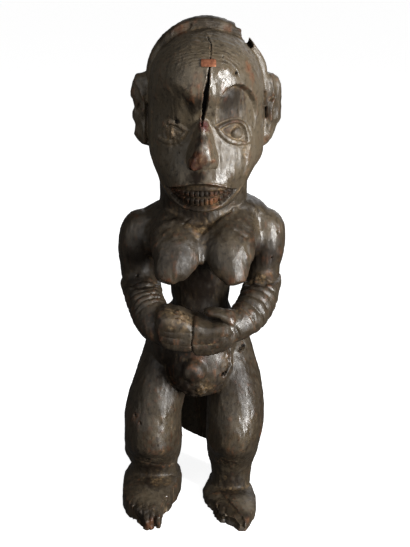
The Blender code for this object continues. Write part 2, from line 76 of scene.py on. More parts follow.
EAR_CUTS = {"left": [[(-58.0, 436.0), (-58.4, 415.0), (-58.0, 398.0)], [(-66.0, 436.0), (-68.5, 431.0)]],
            "right": [[(58.7, 449.0), (58.9, 437.0)], [(60.6, 433.0), (60.7, 424.0)], [(65, 441), (69, 444)]]}
EAR_RIDGE_HIGH, EAR_CUT_DEEP, EAR_ROUGH = 1.6, 3.0, 1.3

# The crest's breaks in x and z: what is gone at its right end, the hollow there and the chip on the left
CREST_BREAK = [(30.3, 516), (30.6, 511.6), (31.5, 509.9), (32.6, 510.7), (34.9, 509.7), (36.4, 506.8),
               (35.5, 502.1), (37.0, 498.3), (38.3, 497.3), (40.9, 498.9), (42.4, 500.9), (43.9, 500.7),
               (46.8, 496.4), (51.8, 489.0), (56.9, 482.4), (60.3, 474.5), (61.2, 466.5), (80, 466),
               (80, 530), (30, 530)]
CREST_HOLLOW = [(37.2, 497.6), (40.6, 492.6), (44.2, 488.4), (47.2, 490.8), (45.4, 496.0), (41.4, 499.5)]
CREST_CHIP = [(-33, 500), (-31, 507), (-24, 513), (-14, 517.5), (-12.5, 512), (-19, 505.5), (-27, 499)]
SIGHT_FALL = 0.364

# The flat that is cut on the forehead, right of the split: a point on it, and its slopes over x and z
FOREHEAD_FLAT = (17.0, -65.75, 468.0)
FLAT_SLOPE = (0.40, 0.18)

# Brows, as x and z of the hollow's middle and its half width and half height
BROW = {"left": (-29.0, 434.0), "right": (30.0, 434.0)}
BROW_HALF = (20.0, 30.0)
BROW_EDGE = {"left": (0.55, 1.12), "right": (0.96, 1.035)}
SOCKET_DEEP = {"left": 4.5, "right": 7.0}
SOCKET_FADE = (412.0, 460.0)

# Eyes, as x and z of the chord's middle, half its length, rise above it, fall below it and tilt in degrees
EYE = {"left": (-32.5, 415.0, 18.0, 14.0, 9.0, 18.4), "right": (27.0, 414.8, 19.4, 15.6, 7.4, -29.0)}
EYE_OPENING = {"left": (13.0, 10.5, 5.5), "right": (14.8, 12.6, 2.6)}
EYE_CRISP = {"left": 0.42, "right": 1.0}
LID_HIGH, LID_SOFT, SCRIBED_DEEP = 1.7, 0.55, 0.7
BALL_DEEP, BALL_DOME = 1.5, 1.5
PUPIL = {"left": (-34.0, 415.5, 4.6), "right": (31.4, 417.0, 6.0)}
PUPIL_HIGH, PUPIL_RING_DEEP = 1.2, 1.0

# Mouth and teeth. A row of teeth is its middle and half height, as shares of the mouth's height
MOUTH_X, MOUTH_HALF = -3.2, 34.5
UPPER_LIP, LOWER_LIP, LIP_CORNER = 372.5, 345.8, 362.5
LOWER_CURVE, UPPER_CURVE = {"left": 3.2, "right": 2.2}, 1.8
MOUTH_DEEP, TEETH_HIGH = 5.2, 3.6
TEETH_ROWS = [(0.62, 0.15), (0.27, 0.17)]
TOOTH_WIDE, TOOTH_GAP = 5.0, 0.7
LIP_HIGH, LIP_WIDE = 0.9, 0.032

# Ridges that frame the face, and the lump at the root of the nose
JAW = {"left": [(-52, 433), (-54, 410), (-53.5, 390), (-49, 376), (-42.5, 365), (-34, 354.7), (-25, 347.2),
                (-18, 343.8)],
       "right": [(42, 380), (40, 372), (37.6, 364.7), (30.8, 357.4), (23.9, 352.3), (15, 347.2)]}
JAW_HIGH, JAW_WIDE = 1.1, 1.2
CHEEK_RIDGE = [(44.5, 410), (43.5, 402), (41.5, 396), (41.5, 388), (40, 380), (38, 374)]
CHEEK_RIDGE_HIGH = 1.3
NOSE_ROOT = (-1.0, 427.0, 4.6, 6.0)
NOSE_ROOT_HIGH = 1.5
NOSE_X = -2.4
NOSE_BOXY = 1.12
NOSE_END = [(-15.0, 386.5), (-17.0, 390), (-15.5, 396.5), (-11, 402.5), (5, 402.5), (10, 396.5), (12.2, 390),
            (11, 386.5)]
NOSE_END_Z = 392.0
NOSE_RIDGE = [(387, -75.5), (396, -80.5), (404, -79), (413, -74.5), (423, -68.5), (433, -61.5)]
NOSE_FLANK = 0.62
NOSE_LAYERS = [(-56, 1.0, 1.0), (-72, 1.0, 1.0), (-77, 0.94, 0.97), (-80.5, 0.76, 0.82)]

# The split down the forehead: x and z, and half its width there
CRACK = [(-3.2, 427, 0.4), (-2.2, 434, 1.3), (-0.6, 444, 2.0), (0.8, 456, 2.3), (2.4, 467, 1.5),
         (3.9, 480, 0.7), (5.4, 490, 0.15), (5.6, 499, 0.15), (2.0, 505, 0.2)]
CRACK_DEEP = 9.0

# The copper strip across the split, bent like the forehead under it
CLIP_X, CLIP_Y, CLIP_Z = 3.2, -63.8, 484.7
CLIP_LONG, CLIP_HIGH, CLIP_THICK = 14.0, 6.8, 1.6
CLIP_BEND, CLIP_BULGE, CLIP_SLOPE = 52.0, 66.0, 0.55
CLIP_HAMMERED = 0.18
CLIP_ALONG, CLIP_ACROSS = 36, 16
GAP = 0.3

# The body, hands and feet. A forearm row is x, y, z, half width, half thickness, elbow to wrist
FOREARM = {
    "left": [(-69.5, 0, 258, 19.5, 21), (-67.5, -10, 245, 20, 21), (-62, -27, 235, 19, 20),
             (-55, -43, 225.5, 19.5, 19.5), (-46.5, -56, 219, 19, 18), (-36, -66, 217, 14, 16)],
    "right": [(61, 0, 257, 18, 21), (60.5, -12, 247, 18, 20), (55, -29, 237.5, 18.5, 19.5),
              (47, -45, 230, 18.5, 18.5), (36.5, -57, 224, 16.5, 17.5), (26, -66, 220, 13, 16)],
}
HAIRLINE_Z = 358.0
BREAST_BOXY = 1.15
THROAT = [(-52, 312), (-44, 320), (-29, 325), (-18, 321), (-2, 310), (8, 319), (17, 325), (25, 329),
          (29, 333)]
THROAT_EDGE_HIGH, THROAT_DEEP = 1.0, 1.2

# Rings round the forearms: where they start and end along it, their pitch and height, and the cuff above them
RINGS = {"left": (26.0, 60.0, 6.4, 0.9), "right": (22.0, 72.0, 9.5, 1.4)}
ELBOW_Z = 258.0
CUFF_AT, CUFF_HIGH = {"left": -7.0, "right": -4.0}, 1.6

# Hands seen from the front: x and z round each, the cuts between the fingers and the seam where they meet
HAND_RIM = {
    "left": [(-50, 212), (-52, 226), (-48, 240), (-40, 242), (-33, 240.5), (-27, 240), (-21, 237.5),
             (-14.0, 233.5), (-11.4, 229.5), (-10.5, 222), (-11.2, 211), (-11.3, 199), (-20, 197),
             (-33, 198.5), (-44, 202)],
    "right": [(-14.2, 222), (-13.2, 232.0), (-8.5, 233.2), (-2, 231.2), (5, 229.4), (9, 229.4), (13, 230.5),
              (19, 232), (27, 233), (33, 229), (36, 222), (36, 214), (31, 207), (26, 202), (19, 197.5),
              (10, 194.5), (0, 193), (-8, 193.5), (-14.0, 198)],
}
HAND_MIDDLE = {"left": (-16.0, 219.0), "right": (-8.0, 214.0)}
HAND_LAYERS = [(-46, 0.92, 0.92), (-56, 1.0, 1.0), (-68, 1.0, 1.0), (-74, 0.96, 0.94), (-79, 0.86, 0.80),
               (-81.5, 0.6, 0.5)]
FINGER_CUTS = {
    "left": [[(-46, 225), (-36.8, 223.8), (-12, 222.2)], [(-45, 218.5), (-30, 216.6), (-12, 215)],
             [(-45, 211), (-30, 209), (-12, 207.8)]],
    "right": [[(-12, 216), (8, 217.6), (24, 219)], [(-12, 209.5), (16, 211.5)],
              [(-12, 202.1), (10, 205.2), (18, 206)]],
}
SEAM = [(-11.6, 236), (-12.0, 229), (-12.6, 221.6), (-13.6, 211.2), (-13.2, 199.8), (-11.7, 188)]
FINGER_CUT_DEEP, SEAM_DEEP = 0.8, 2.2
NAVEL_X, NAVEL_Z = -11.5, 171.0
BELLY_X = -6.0
BELLY_RIM = [(-36, 158), (-28, 148), (-17, 142), (-4, 139.5), (8, 143), (18, 152)]
SPINE_DEEP, CLEFT_DEEP, HAIRLINE_DEEP = 3.0, 5.0, 2.0

# Feet: the broken outline of each sole, and the cuts between the toes, in x and y
SOLE = {
    "left": [(-91.5, -40), (-89.5, -50), (-86.6, -60), (-85.2, -64.1), (-81.5, -69.7), (-77.9, -74.6),
             (-77.6, -70), (-74.4, -77.1), (-69.8, -82.5), (-66.1, -89.7), (-61.6, -93.6), (-57.4, -93.6),
             (-55.4, -90.2), (-52.9, -86.5), (-51.2, -90.4), (-48.2, -90.4), (-46.2, -80.7), (-45.4, -68.5),
             (-43.5, -61.3), (-40.4, -59.6), (-38.0, -52.7), (-36.0, -43.1), (-32, -38), (-28, -24),
             (-26, -6), (-29, 14), (-42, 28), (-72, 28), (-90, 12), (-93, -14)],
    "right": [(-2.0, -26), (-0.6, -41.1), (0.6, -44.5), (2.2, -46.5), (2.4, -50.5), (5.0, -52.7),
              (6.2, -56.0), (8.6, -58.4), (8.9, -63.0), (10.6, -65.0), (10.0, -68.8), (12.0, -71.0),
              (12.8, -75.0), (15.0, -77.0), (16.5, -80.5), (20.5, -81.5), (24.5, -84.0), (29.9, -87.0),
              (33.0, -91.8), (36.1, -95.6), (42.5, -95.2), (44.8, -90.6), (48.3, -83.5), (52.5, -74.4),
              (55.4, -62.2), (56.5, -40), (54, -22), (49, -6), (46, 12), (40, 24), (16, 24), (6, 12),
              (3, -6), (-1, -16)],
}
TOE_CUTS = {
    "left": [[(-56, -66), (-54.2, -80), (-53.4, -94)], [(-61.5, -74), (-59.8, -84), (-59.0, -95)],
             [(-68, -72), (-67.2, -82), (-66.6, -93)], [(-75, -68), (-74.6, -76), (-74.0, -85)],
             [(-80.6, -60), (-80.0, -68), (-79.4, -77)]],
    "right": [[(21, -70), (21.5, -82)], [(14, -62), (13.5, -72)]],
}
TOE_CUT_DEEP = 1.5
INSTEP_EDGE = [(20.5, -48), (23.6, -56), (29.5, -68), (36, -79), (43, -91)]
INSTEP_STEP = 2.6
SCARS = [[(-69, 60), (-61, 63)], [(-63, 57.5), (-55, 61)], [(-58, 66), (-51, 63)], [(-54, 57), (-47, 55)],
         [(-50, 62), (-45, 57)], [(12, 56), (20, 58.5)], [(19, 61), (29, 63)], [(28, 60), (38, 62)],
         [(15, 51), (25, 54)], [(24, 49), (33, 51)], [(34, 57), (43, 60)], [(12, 45), (22, 47)],
         [(-22, 322), (-14, 326)], [(30, 318), (42, 311)], [(34, 325), (45, 316)], [(40, 328), (52, 320)]]
KNEE_CREASE = [(-87, 67), (-80, 60), (-71, 55), (-60, 50), (-49, 44), (-36, 40)]
HIP_SPLIT = [(27, 199), (25.5, 188), (25.8, 176), (26, 171), (22, 165), (19, 164)]
STUB_GROOVE = [(-10, 104), (-8.5, 88), (-7, 72), (-4.5, 55), (-3, 44)]

# Insect holes and pits: x, y, z, radius and depth
HOLES = [(29.1, -58, 474.7, 1.3, 4.0), (16.3, -61, 489.3, 0.7, 2.0), (75.0, -16.7, 307.6, 1.3, 4.0),
         (69.1, -22.1, 281.2, 1.1, 3.0), (40.5, -23.9, 182.6, 2.0, 5.0), (37.1, -30.3, 180.9, 1.6, 4.0),
         (19.4, -48.5, 163.9, 2.4, 5.0), (-73.9, -58.9, 115.3, 1.2, 3.0), (-68.4, -63.7, 109.6, 1.0, 3.0),
         (-27.0, -49, 428.0, 1.8, 3.0), (-15.5, -72, 300.0, 1.2, 2.5), (-70.0, -20, 262.0, 1.2, 3.0)]

# Fineness of the carved surface
VOXEL = 0.75
SMOOTH_PASSES = 12
SMOOTH_FACTOR = 0.5
FIGURE_TRIANGLES = 185000
RING_POINTS = 64
STEPS = 9
THINNEST = 0.5

# Tool marks and weathering: the size of each in x, y and z, and its height
ADZE_CELL, ADZE_DEEP = (15.0, 15.0, 24.0), 0.9
UNEVEN_CELL, UNEVEN_HIGH = (24.0, 24.0, 34.0), 1.0
FINE_CELL, FINE_HIGH = (3.2, 3.2, 4.6), 0.32
GRAIN_CELL, GRAIN_HIGH = (1.8, 1.8, 24.0), 0.20

# Crusty and eroded spots: x, y, z, radius and height
CRUSTY = [(-32, -50, 416, 17, 1.3), (-9, -83, 181, 9, 0.9), (-5, -78, 398, 9, 0.6), (-24, -72, 234, 14, 0.9),
          (56, -30, 256, 14, 1.0), (-58, -44, 60, 16, 0.6), (28, -44, 54, 20, 0.6), (-12, -54, 152, 24, 1.3),
          (-64, -84, 8, 22, 1.0), (8, -66, 12, 16, 0.5), (-44, -62, 8, 14, 1.0), (40, -44, 395, 12, 0.7),
          (26, -50, 178, 14, 1.0), (-2, -52, 310, 12, 0.7), (-44, -46, 246, 16, 0.8)]

# Soft-edged places where the masses flow into each other: x, y, z and radius
EASED = [(-52, -14, 310, 28), (50, -14, 312, 30), (-50, -30, 296, 18), (48, -30, 298, 18),
         (-30, -20, 196, 16), (20, -20, 196, 16), (-46, -44, 238, 12), (40, -46, 232, 12),
         (-11, -58, 172, 18), (-30, -44, 160, 14), (20, -44, 160, 14), (-20, -56, 400, 9),
         (16, -56, 400, 9), (-52, -20, 372, 16), (50, -20, 372, 16), (-58, -38, 28, 24), (30, -40, 14, 20),
         (0, -32, 328, 26), (-4, -40, 312, 20), (-62, -18, 262, 14), (56, -18, 262, 14)]
EASING_PASSES = 110


def between(rows):
    """A smooth curve through the rows: a Catmull-Rom spline, STEPS points from one row to the next."""
    rows = np.array(rows, float)
    padded = np.vstack([2 * rows[0] - rows[1], rows, 2 * rows[-1] - rows[-2]])
    smooth = []
    for start in range(1, len(padded) - 2):
        a, b, c, d = padded[start - 1:start + 3]
        for step_on in range(STEPS):
            t = step_on / STEPS
            smooth.append(0.5 * (2 * b + (c - a) * t + (2 * a - 5 * b + 4 * c - d) * t ** 2
                                 + (3 * b - a - 3 * c + d) * t ** 3))
    smooth.append(rows[-1])
    return np.array(smooth)


def ring(centre, side_axis, front_axis, side, front, back, boxy=1.0):
    """One closed section: an oval with its own depths to front and back. Boxy below 1 squares it."""
    turn = np.linspace(0.0, 2.0 * math.pi, RING_POINTS, endpoint=False)
    swing = np.sign(np.cos(turn)) * np.abs(np.cos(turn)) ** boxy
    reach = np.sign(np.sin(turn)) * np.abs(np.sin(turn)) ** boxy
    depth = np.where(reach > 0.0, front, back) * reach
    return centre + np.outer(side * swing, side_axis) + np.outer(depth, front_axis)


def skin(rings):
    """The closed surface through the rings, with a fan of triangles at both ends."""
    count, around = len(rings), len(rings[0])
    points = np.vstack(rings + [rings[0].mean(axis=0)[None], rings[-1].mean(axis=0)[None]])
    faces = []
    for here in range(around):
        after = (here + 1) % around
        last = (count - 1) * around
        faces.append((here, count * around, after))
        faces.append((last + here, last + after, count * around + 1))
        for row in range(count - 1):
            low, high = row * around, (row + 1) * around
            faces.append((low + here, low + after, high + after, high + here))
    return points, faces


def upright(rows, boxy=1.0):
    """A mass of level sections. A row is x, y, z, half width, front depth, back depth."""
    x_axis, front_axis = np.array([1.0, 0.0, 0.0]), np.array([0.0, -1.0, 0.0])
    return skin([ring(row[:3], x_axis, front_axis, *np.maximum(row[3:6], THINNEST), boxy)
                 for row in between(rows)])


def lengthwise(rows):
    """A mass of sections that face the front. A row is x, y, z, half width, height up, height down."""
    x_axis, up_axis = np.array([1.0, 0.0, 0.0]), np.array([0.0, 0.0, 1.0])
    return skin([ring(row[:3], x_axis, up_axis, *np.maximum(row[3:6], THINNEST)) for row in between(rows)])


def limb(rows, boxy=1.0):
    """A mass of sections square to its own path. A row is x, y, z, half width, half thickness."""
    rows = between(rows)
    path = rows[:, :3]
    along = np.gradient(path, axis=0)
    along /= np.linalg.norm(along, axis=1)[:, None]
    rings = []
    for row, way in zip(rows, along):
        front_axis = np.cross(way, [1.0, 0.0, 0.0])
        front_axis /= np.linalg.norm(front_axis)
        side_axis = np.cross(front_axis, way)
        half_width, half_thickness = np.maximum(row[3:5], THINNEST)
        rings.append(ring(row[:3], side_axis, front_axis, half_width, half_thickness, half_thickness, boxy))
    return skin(rings)


def fallen(outline, front_y, back_y):
    """A cutter that slopes down as it runs back, by SIGHT_FALL."""
    def section(y):
        return np.array([(x, y, z - SIGHT_FALL * y) for x, z in outline], float)

    return skin([section(front_y), section(back_y)])


def plate(outline, middle, layers):
    """A slab that faces the front. A layer is y, and the shares of the outline's reach there in x and z."""
    reach = np.array(outline, float) - middle
    rings = []
    for y, wide, high in layers:
        flat = reach * (wide, high) + middle
        rings.append(np.column_stack([flat[:, 0], np.full(len(flat), y), flat[:, 1]]))
    return skin(rings)


def crosswise(rows):
    """A mass of sections that face sideways. A row is x, y, z, half depth, height up, height down."""
    y_axis, up_axis = np.array([0.0, 1.0, 0.0]), np.array([0.0, 0.0, 1.0])
    return skin([ring(row[:3], y_axis, up_axis, *np.maximum(row[3:6], THINNEST)) for row in between(rows)])


def head():
    """Face and skull in one mass: muzzle, cheeks, eye plane, bulging forehead and crown."""
    x = HEAD_X
    points, faces = upright([(x - 3.5, 0, 340, 14, 46, 26), (x - 3.5, 0, 341.5, 27, 62, 30),
                             (x - 3.5, 0, 346, 35.5, 69.5, 36), (x - 3, 0, 354, 41, 72.5, 40),
                             (x - 2.5, 0, 363, 46, 73.5, 44), (x - 2, 0, 373, 50.5, 71, 48),
                             (x - 0.5, 0, 385, 56, 66, 52), (x, 0, 398, 58, 61.5, 55),
                             (x, 0, 412, 58, 59.5, 57), (x, 0, 428, 58, 60.5, 59),
                             (x, 0, 442, 58, 65.5, 60), (x, 0, 452, 57.5, 70.5, 59),
                             (x, 0, 462, 56, 71.5, 57), (x, 0, 473, 53.5, 69, 52), (x, 0, 487, 47, 62, 43),
                             (x + 1, 0, 498, 37, 47.5, 31), (x + 1, 0, 506, 24, 29, 18),
                             (x + 1, 0, 510, 7, 9, 7)])
    side_x, side_y, side_z = FOREHEAD_FLAT
    flat = side_y + FLAT_SLOPE[0] * (points[:, 0] - side_x) + FLAT_SLOPE[1] * (points[:, 2] - side_z)
    points[:, 1] = np.maximum(points[:, 1], flat)
    return cut((points, faces), [fallen(CREST_HOLLOW, -16, 12)])


def crest():
    """The raised front edge of the hair, an arch from ear to ear, broken off at its right end."""
    x = HEAD_X + 1
    arch = lengthwise([(x, -7, 460, 55, 53, 56), (x, -4, 460, 59.5, 59, 58), (x, 6, 460, 61, 61, 60),
                       (x, 14, 460, 60, 60, 60), (x, 18, 460, 55, 55, 56)])
    losses = [fallen(CREST_BREAK, -14, 24), fallen(CREST_HOLLOW, -16, 12), prism(CREST_CHIP, -12, -4.4)]
    return cut(arch, losses)


def hair():
    """The smooth cap behind the crest, down to the nape."""
    x = HEAD_X + 1
    return lengthwise([(x, 2, 458, 52, 42, 70), (x, 14, 457, 54, 43.5, 76), (x, 26, 455, 54, 43, 84),
                       (x, 40, 452, 52, 41, 88), (x, 52, 447, 45, 38, 84), (x, 60, 441, 32, 29, 68),
                       (x, 65, 437, 13, 12, 30)])


def nape():
    return upright([(HEAD_X, 30, 350, 30, 20, 16), (HEAD_X, 34, 366, 36, 24, 22),
                    (HEAD_X, 34, 392, 42, 30, 26), (HEAD_X, 30, 420, 44, 30, 30)])


def nose():
    """The ridge of the nose, cut to a slanting plane on the right."""
    x = NOSE_X
    points, faces = upright([(x + 1, -53, 433, 5.5, 9, 8), (x + 1, -55, 423, 8.0, 14, 10),
                             (x + 0.5, -57, 413, 10.5, 18, 12), (x, -58, 404, 13.0, 21.5, 12),
                             (x, -58, 396, 15.0, 23, 12), (x, -58, 390, 15.0, 21.5, 12),
                             (x, -58, 387, 12, 16, 8)], NOSE_BOXY)
    return flanked(points), faces


def flanked(points):
    """Cut the nose back to the slanting plane on its right."""
    ridge = np.interp(points[:, 2], [row[0] for row in NOSE_RIDGE], [row[1] for row in NOSE_RIDGE])
    points[:, 1] = np.maximum(points[:, 1], ridge + NOSE_FLANK * (points[:, 0] - NOSE_X))
    return points


def nostrils():
    """The blunt end of the nose, flat in front and below."""
    points, faces = plate(NOSE_END, (NOSE_X, NOSE_END_Z), NOSE_LAYERS)
    return flanked(points), faces


def ear(side):
    """A tall slab standing off the side of the head, its front bevelled and its rim broken."""
    return plate(EAR_RIM[side], (HEAD_X + SIDES[side] * 57.0, EAR_MIDDLE_Z), EAR_LAYERS)


def neck():
    return upright([(HEAD_X - 3, 5, 300, 46, 34, 38), (HEAD_X - 3, 5, 322, 46, 35, 38),
                    (HEAD_X - 3, 5, 345, 45.5, 36, 38), (HEAD_X - 3, 5, 372, 45, 38, 40)])


def trunk():
    x = BODY_X
    return upright([(x + 10, 6, 339, 42, 26, 32), (x + 9, 6, 331, 58, 29, 36), (x + 2, 5, 319, 71, 32, 41),
                    (x + 1, 3, 304, 72, 36, 43), (x, 3, 284, 56, 36, 42), (x, 2, 266, 40, 32, 38),
                    (x - 0.5, 0, 250, 33.5, 28, 34), (x - 1, 0, 236, 32, 27, 32), (x - 1, 0, 224, 31, 32, 36),
                    (x - 5, 0, 208, 40, 46, 43), (HIP_X, 0, 190, 50, 58, 49), (HIP_X, 3, 172, 53, 57, 52),
                    (HIP_X, 8, 152, 50, 44, 50), (HIP_X, 12, 136, 42, 26, 42), (HIP_X, 14, 128, 28, 14, 28)])


def breast(side):
    """A broad hanging wedge, blunt at its lower end, with a straight inner edge."""
    if side == "left":
        return limb([(-28, -6, 321, 27, 16), (-28, -26, 309, 29, 17), (-28.5, -42, 296, 27, 17.5),
                     (-32, -52.5, 285, 21.5, 15), (-37.5, -59.5, 276, 14.5, 10.5), (-39.5, -64, 270, 8.5, 6)],
                    BREAST_BOXY)
    return limb([(26, -6, 322, 28, 16), (24.5, -26, 310, 29, 17), (24.5, -42, 297, 26.5, 17.5),
                 (26.5, -52.5, 285.5, 22, 15), (29.5, -60, 276, 15, 11),
                 (31, -64.5, 269, 9.5, 6.5)], BREAST_BOXY)


def bosom():
    """The breast plate between the two wedges, which parts them only at its lower edge."""
    x = BODY_X
    return upright([(x, 0, 281, 4, 44, 20), (x, 0, 285, 11, 52, 24), (x, 0, 292, 18, 52, 24),
                    (x, 0, 301, 24, 48, 26), (x, 0, 310, 30, 41, 30), (x + 2, 0, 320, 34, 33, 34)])


def shoulder(side):
    """The plane that carries the chest out to the arm."""
    sign = SIDES[side]
    return crosswise([(BODY_X + sign * 10, -4, 306, 26, 15, 22), (BODY_X + sign * 32, -5, 306, 28, 17, 24),
                      (BODY_X + sign * 50, -4, 303, 26, 18, 26), (BODY_X + sign * 64, -2, 299, 20, 14, 22)])


def upper_arm(side):
    if side == "left":
        return limb([(-56, 6, 317, 13, 17), (-66.5, 4, 305, 21, 24), (-70.5, 2, 287, 21, 25),
                     (-70, 1, 268, 19.5, 23), (-69, 0, 250, 20, 22)])
    return limb([(54, 6, 321, 13, 17), (62.5, 4, 307, 21, 24), (64, 2, 288, 20, 25),
                 (61, 1, 268, 18, 23), (60.5, 0, 250, 18.5, 22)])


def forearm(side):
    return limb(FOREARM[side])


def hand(side):
    """A blunt slab of fingers whose tips meet the other hand's over the belly."""
    return plate(HAND_RIM[side], HAND_MIDDLE[side], HAND_LAYERS)


def thumb():
    """The right thumb, lying over the fingers with its tip free, and the knuckle behind it."""
    return crosswise([(-1, -63, 239, 4, 2, 2), (1.5, -64, 238.8, 7, 3.5, 3.5), (8, -66, 239, 9, 4.5, 4.5),
                      (15, -67, 238.5, 10, 4.5, 5.5), (19, -67, 236, 11, 6, 7), (26, -67, 232, 12, 9.5, 9),
                      (34, -63, 226, 11, 11, 10), (40, -57, 221, 8, 9, 9)])


def belly():
    """The low belly under the hands."""
    x = BELLY_X
    return lengthwise([(x, -18, 175, 37, 28, 38), (x, -34, 172, 36, 32, 38), (x, -46, 169, 34, 34, 35),
                       (x - 1, -54, 168, 28, 32, 30), (x - 2, -59, 168, 19, 24, 22),
                       (x - 2, -62, 168, 7, 10, 9)])


def navel():
    """The thick navel, drawn forward to a domed end."""
    x, z = NAVEL_X, NAVEL_Z
    return lengthwise([(x + 2, -46, z + 3, 17, 18, 15), (x + 0.5, -58, z + 1.5, 13.5, 14.5, 13),
                       (x, -65, z, 11, 12, 11), (x, -69, z, 8.5, 9, 8.5), (x, -71, z, 5, 5, 5),
                       (x, -71.8, z, 2, 2, 2)])


def buttock(side):
    sign = SIDES[side]
    return upright([(HIP_X + sign * 23, 26, 196, 14, 12, 12), (HIP_X + sign * 24, 26, 182, 25, 20, 24),
                    (HIP_X + sign * 26, 24, 164, 28, 24, 33), (HIP_X + sign * 28, 18, 146, 28, 24, 32),
                    (HIP_X + sign * 29, 12, 130, 25, 18, 22)])


def leg(side):
    """A thigh that leans forward to a full knee, and a short calf."""
    if side == "left":
        return upright([(-37, 0, 200, 18, 22, 30), (-40, -2, 184, 23.5, 28, 38),
                        (-43.5, -8, 164, 26.5, 33, 42), (-49, -15, 144, 28.5, 36, 41),
                        (-53.5, -20, 122, 31, 38.5, 38), (-56.5, -23, 104, 31.5, 41.5, 34),
                        (-57, -24, 88, 31.5, 44, 31), (-57, -23, 77, 31.5, 45, 29),
                        (-57.5, -18, 65, 31.5, 39, 28), (-58.5, -13, 52, 31.5, 31, 27),
                        (-58, -11, 41, 28, 25.5, 25), (-57.5, -10, 32, 26.5, 23.5, 26),
                        (-58, -10, 20, 27, 22, 26), (-58, -10, -6, 27, 20, 24)])
    return upright([(18, 0, 204, 19, 22, 30), (22.5, -2, 188, 25, 28, 38), (26, -8, 168, 28, 33, 42),
                    (30, -15, 146, 29.5, 36, 41), (32.5, -20, 124, 31, 38, 38), (33, -23, 106, 31.5, 41, 34),
                    (32.5, -24, 90, 31, 43.5, 31), (31.5, -22, 76, 30, 44, 28), (31, -17, 62, 28.5, 37, 26),
                    (30.5, -14, 48, 27, 29, 25), (30, -12, 35, 24, 26, 24), (30, -12, 24, 22.5, 25, 24),
                    (29.5, -12, 12, 22, 26, 25), (29, -12, -6, 21, 25, 24)])


def foot(side):
    """A low foot whose broken outline is cut straight down."""
    if side == "left":
        mass = lengthwise([(-58, 26, 8, 14, 8, 14), (-58.5, 16, 12, 27, 14, 22), (-59.5, -6, 14, 33, 16, 26),
                           (-61, -28, 13, 35, 16, 26), (-62, -48, 11, 33, 15, 22), (-62, -66, 9, 29, 13, 20),
                           (-61, -80, 6, 27, 12, 18), (-58, -90, 2, 25, 11.5, 16), (-56, -99, -3, 22, 9, 12)])
    else:
        mass = lengthwise([(28, 24, 4, 13, 6, 12), (28.5, 14, 4, 22, 8, 20), (28, -8, 4, 27, 9, 20),
                           (27.5, -34, 4, 31, 10, 22), (29, -50, 5, 31, 11.5, 19), (32, -66, 5, 28, 11.5, 18),
                           (36, -80, 3, 23, 11, 16), (39, -91, 0, 18, 10.5, 14), (40, -101, -3, 12, 7, 12)])
    return within(mass, column(SOLE[side], -30, 60))


def column(outline, low, high):
    """An upright block whose outline is given in x and y."""
    return skin([np.array([(x, y, z) for x, y in outline], float) for z in (low, high)])


def post():
    """The short stub behind the legs, cut from the same block and sawn off on the slant."""
    x = HIP_X
    stub = upright([(x, 30, 160, 30, 20, 22), (x, 36, 130, 27, 18, 22), (x, 40, 100, 25, 16, 18),
                    (x + 1, 42, 76, 24, 13, 15), (x + 2, 43, 56, 22.5, 12, 14), (x + 3, 43, 30, 20, 11, 13)])
    return cut(stub, [prism([(-50, 63), (20, 28), (20, 0), (-50, 0)], 10, 80)])


def prism(outline, front_y, back_y):
    """A straight cutter whose outline is given in x and z."""
    return skin([np.array([(x, y, z) for x, z in outline], float) for y in (front_y, back_y)])


def masses():
    """Every mass of the block, as points and faces."""
    made = [head(), crest(), hair(), nape(), nose(), nostrils(), neck(), trunk(), bosom(), belly(), navel(),
            thumb(), post()]
    for side in SIDES:
        made += [ear(side), breast(side), shoulder(side), upper_arm(side), forearm(side), hand(side),
                 buttock(side), leg(side), foot(side)]
    return made


def object_from(name, mass):
    points, faces = mass
    mesh = bpy.data.meshes.new(name)
    mesh.from_pydata([tuple(point) for point in np.array(points) * MM], [], faces)
    tidy = bmesh.new()
    tidy.from_mesh(mesh)
    bmesh.ops.recalc_face_normals(tidy, faces=tidy.faces)
    tidy.to_mesh(mesh)
    tidy.free()
    thing = bpy.data.objects.new(name, mesh)
    bpy.context.scene.collection.objects.link(thing)
    return thing


def baked(thing):
    """Replace an object's mesh by the one that its modifiers make."""
    graph = bpy.context.evaluated_depsgraph_get()
    mesh = bpy.data.meshes.new_from_object(thing.evaluated_get(graph))
    thing.modifiers.clear()
    thing.data = mesh


def take_away(thing, cutter):
    """Leave the cutter as a hidden guide that a Boolean takes from the object."""
    cutter.hide_render = True
    cutter.display_type = "WIRE"
    modifier = thing.modifiers.new("without " + cutter.name, "BOOLEAN")
    modifier.object = cutter
    modifier.operation = "DIFFERENCE"
    modifier.solver = "EXACT"


def within(mass, limit):
    """The part of a mass that lies inside another."""
    thing, guide = object_from("mass", mass), object_from("limit", limit)
    modifier = thing.modifiers.new("inside the outline", "BOOLEAN")
    modifier.object = guide
    modifier.operation = "INTERSECT"
    modifier.solver = "EXACT"
    return taken(thing, [guide])


def taken(thing, guides):
    """The points and faces of an object once its modifiers are applied, leaving nothing behind."""
    baked(thing)
    points = [np.array(vertex.co) / MM for vertex in thing.data.vertices]
    faces = [tuple(face.vertices) for face in thing.data.polygons]
    for used in [thing] + guides:
        bpy.data.objects.remove(used, do_unlink=True)
    return points, faces


def cut(mass, cutters):
    """A mass with notches or hollows taken out of it before the masses are joined."""
    thing = object_from("mass", mass)
    guides = [object_from("cutter", cutter) for cutter in cutters]
    for guide in guides:
        take_away(thing, guide)
    return taken(thing, guides)


